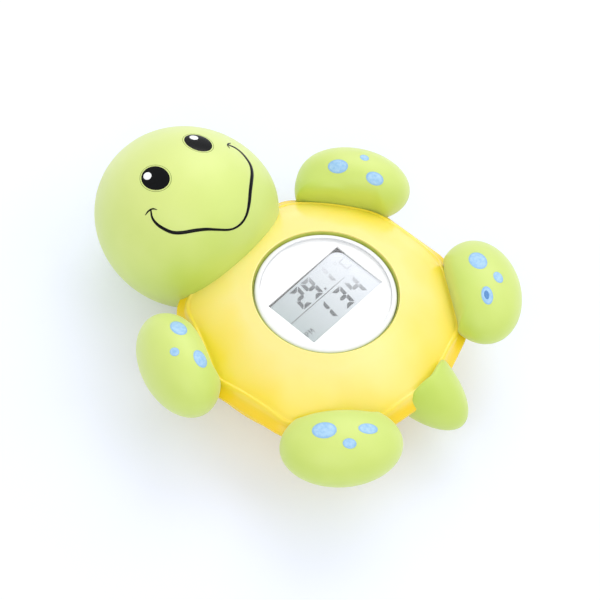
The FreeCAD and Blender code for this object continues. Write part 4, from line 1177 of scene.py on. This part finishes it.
# lengths in metres here
stageSizes = {
    "floorHalf": 3.0,
    "paintedShadeNear": 0.09, "paintedShadeFar": 0.4,  # painted shade: the shown floor is darker near the turtle and brightens between these distances
    "nearGlow": 0.31, "farGlow": 0.6,
    # place, size and watts: the key lamp over the turtle's right shoulder, then two fills
    "softboxes": [((0.3, -0.75, 0.95), 0.9, 4.6), ((-0.6, -0.35, 0.95), 0.8, 1.9),
                  ((-0.25, 0.5, 0.7), 0.5, 1.1)],
    "worldLevel": 0.73,
    "cameraPlace": (-0.1696, 0.2908, 0.5160),
    "cameraTurn": (34.239, -4.063, -142.722),  # degrees about X, Y and Z
    "lens": 137.98, "sensor": 36,  # millimetres
}


def makeFloor():
    # white paper; the eye, mirrors and glass see it a little brighter than the light that it gives back
    s = stageSizes
    half = s["floorHalf"]
    corners = [(-half, -half, 0), (half, -half, 0), (half, half, 0), (-half, half, 0)]
    mesh = bpy.data.meshes.new("floor")
    mesh.from_pydata(corners, [], [(0, 1, 2, 3)])
    floor = bpy.data.objects.new("floor", mesh)
    bpy.context.scene.collection.objects.link(floor)
    mat = bpy.data.materials.new("paperWhite")
    mat.use_nodes = True
    tree = mat.node_tree
    tree.nodes.clear()
    diffuse = addNode(tree, "ShaderNodeBsdfDiffuse", {"Color": linear("#F6F6F8")})
    # the shown colour is tinted cool so that the shadows on it read bluish: a painted shade tint
    shown = addNode(tree, "ShaderNodeBsdfDiffuse", {"Color": linear("#D0D6E9")})
    place = addNode(tree, "ShaderNodeTexCoord").outputs["Object"]
    away = addNode(tree, "ShaderNodeVectorMath", {"operation": "LENGTH"}, {0: place}).outputs["Value"]
    # painted shade: the glow is weaker near the turtle, so the floor round it darkens
    level = addNode(tree, "ShaderNodeMapRange", {
        "From Min": s["paintedShadeNear"], "From Max": s["paintedShadeFar"],
        "To Min": s["nearGlow"], "To Max": s["farGlow"]}, {"Value": away})
    glow = addNode(tree, "ShaderNodeEmission", {"Color": linear("#FFFFFF")},
                   {"Strength": level.outputs["Result"]})
    path = addNode(tree, "ShaderNodeLightPath")
    seen = addNode(tree, "ShaderNodeMath", {"operation": "MAXIMUM"},
                   {0: path.outputs["Is Camera Ray"], 1: path.outputs["Is Glossy Ray"]})
    seen = addNode(tree, "ShaderNodeMath", {"operation": "MAXIMUM"},
                   {0: seen.outputs[0], 1: path.outputs["Is Transmission Ray"]})
    both = addNode(tree, "ShaderNodeAddShader", {}, {0: shown.outputs[0], 1: glow.outputs[0]})
    choose = addNode(tree, "ShaderNodeMixShader", {},
                     {0: seen.outputs[0], 1: diffuse.outputs[0], 2: both.outputs[0]})
    addNode(tree, "ShaderNodeOutputMaterial", {}, {"Surface": choose.outputs[0]})
    mesh.materials.append(mat)


def makeLights():
    s = stageSizes
    for place, wide, watts in s["softboxes"]:
        data = bpy.data.lights.new("softbox", "AREA")
        data.shape = "SQUARE"
        data.size = wide
        data.energy = watts
        box = bpy.data.objects.new("softbox", data)
        bpy.context.scene.collection.objects.link(box)
        box.location = place
        box.rotation_euler = (-Vector(place)).to_track_quat("-Z", "Y").to_euler()
    world = bpy.data.worlds.new("studio")
    bpy.context.scene.world = world
    world.use_nodes = True
    tree = world.node_tree
    tree.nodes.clear()
    path = addNode(tree, "ShaderNodeLightPath")
    # the backdrop shows as pure white and lights the turtle a little less than that
    level = addNode(tree, "ShaderNodeMix", {"data_type": "FLOAT", 2: s["worldLevel"], 3: 1.0},
                    {0: path.outputs["Is Camera Ray"]})
    back = addNode(tree, "ShaderNodeBackground", {"Color": (1, 1, 1, 1)}, {"Strength": level.outputs[0]})
    addNode(tree, "ShaderNodeOutputWorld", {}, {"Surface": back.outputs[0]})


def makeCamera():
    # a long lens, looking down over the turtle's left hind flipper
    s = stageSizes
    data = bpy.data.cameras.new("camera")
    data.sensor_width = s["sensor"]
    data.lens = s["lens"]
    data.clip_start = 0.01
    data.clip_end = 20
    camera = bpy.data.objects.new("camera", data)
    bpy.context.scene.collection.objects.link(camera)
    camera.location = s["cameraPlace"]
    camera.rotation_euler = [math.radians(turn) for turn in s["cameraTurn"]]
    bpy.context.scene.camera = camera


makeFloor()
makeLights()
makeCamera()
bpy.context.scene.view_settings.view_transform = "Standard"
print("stage set")
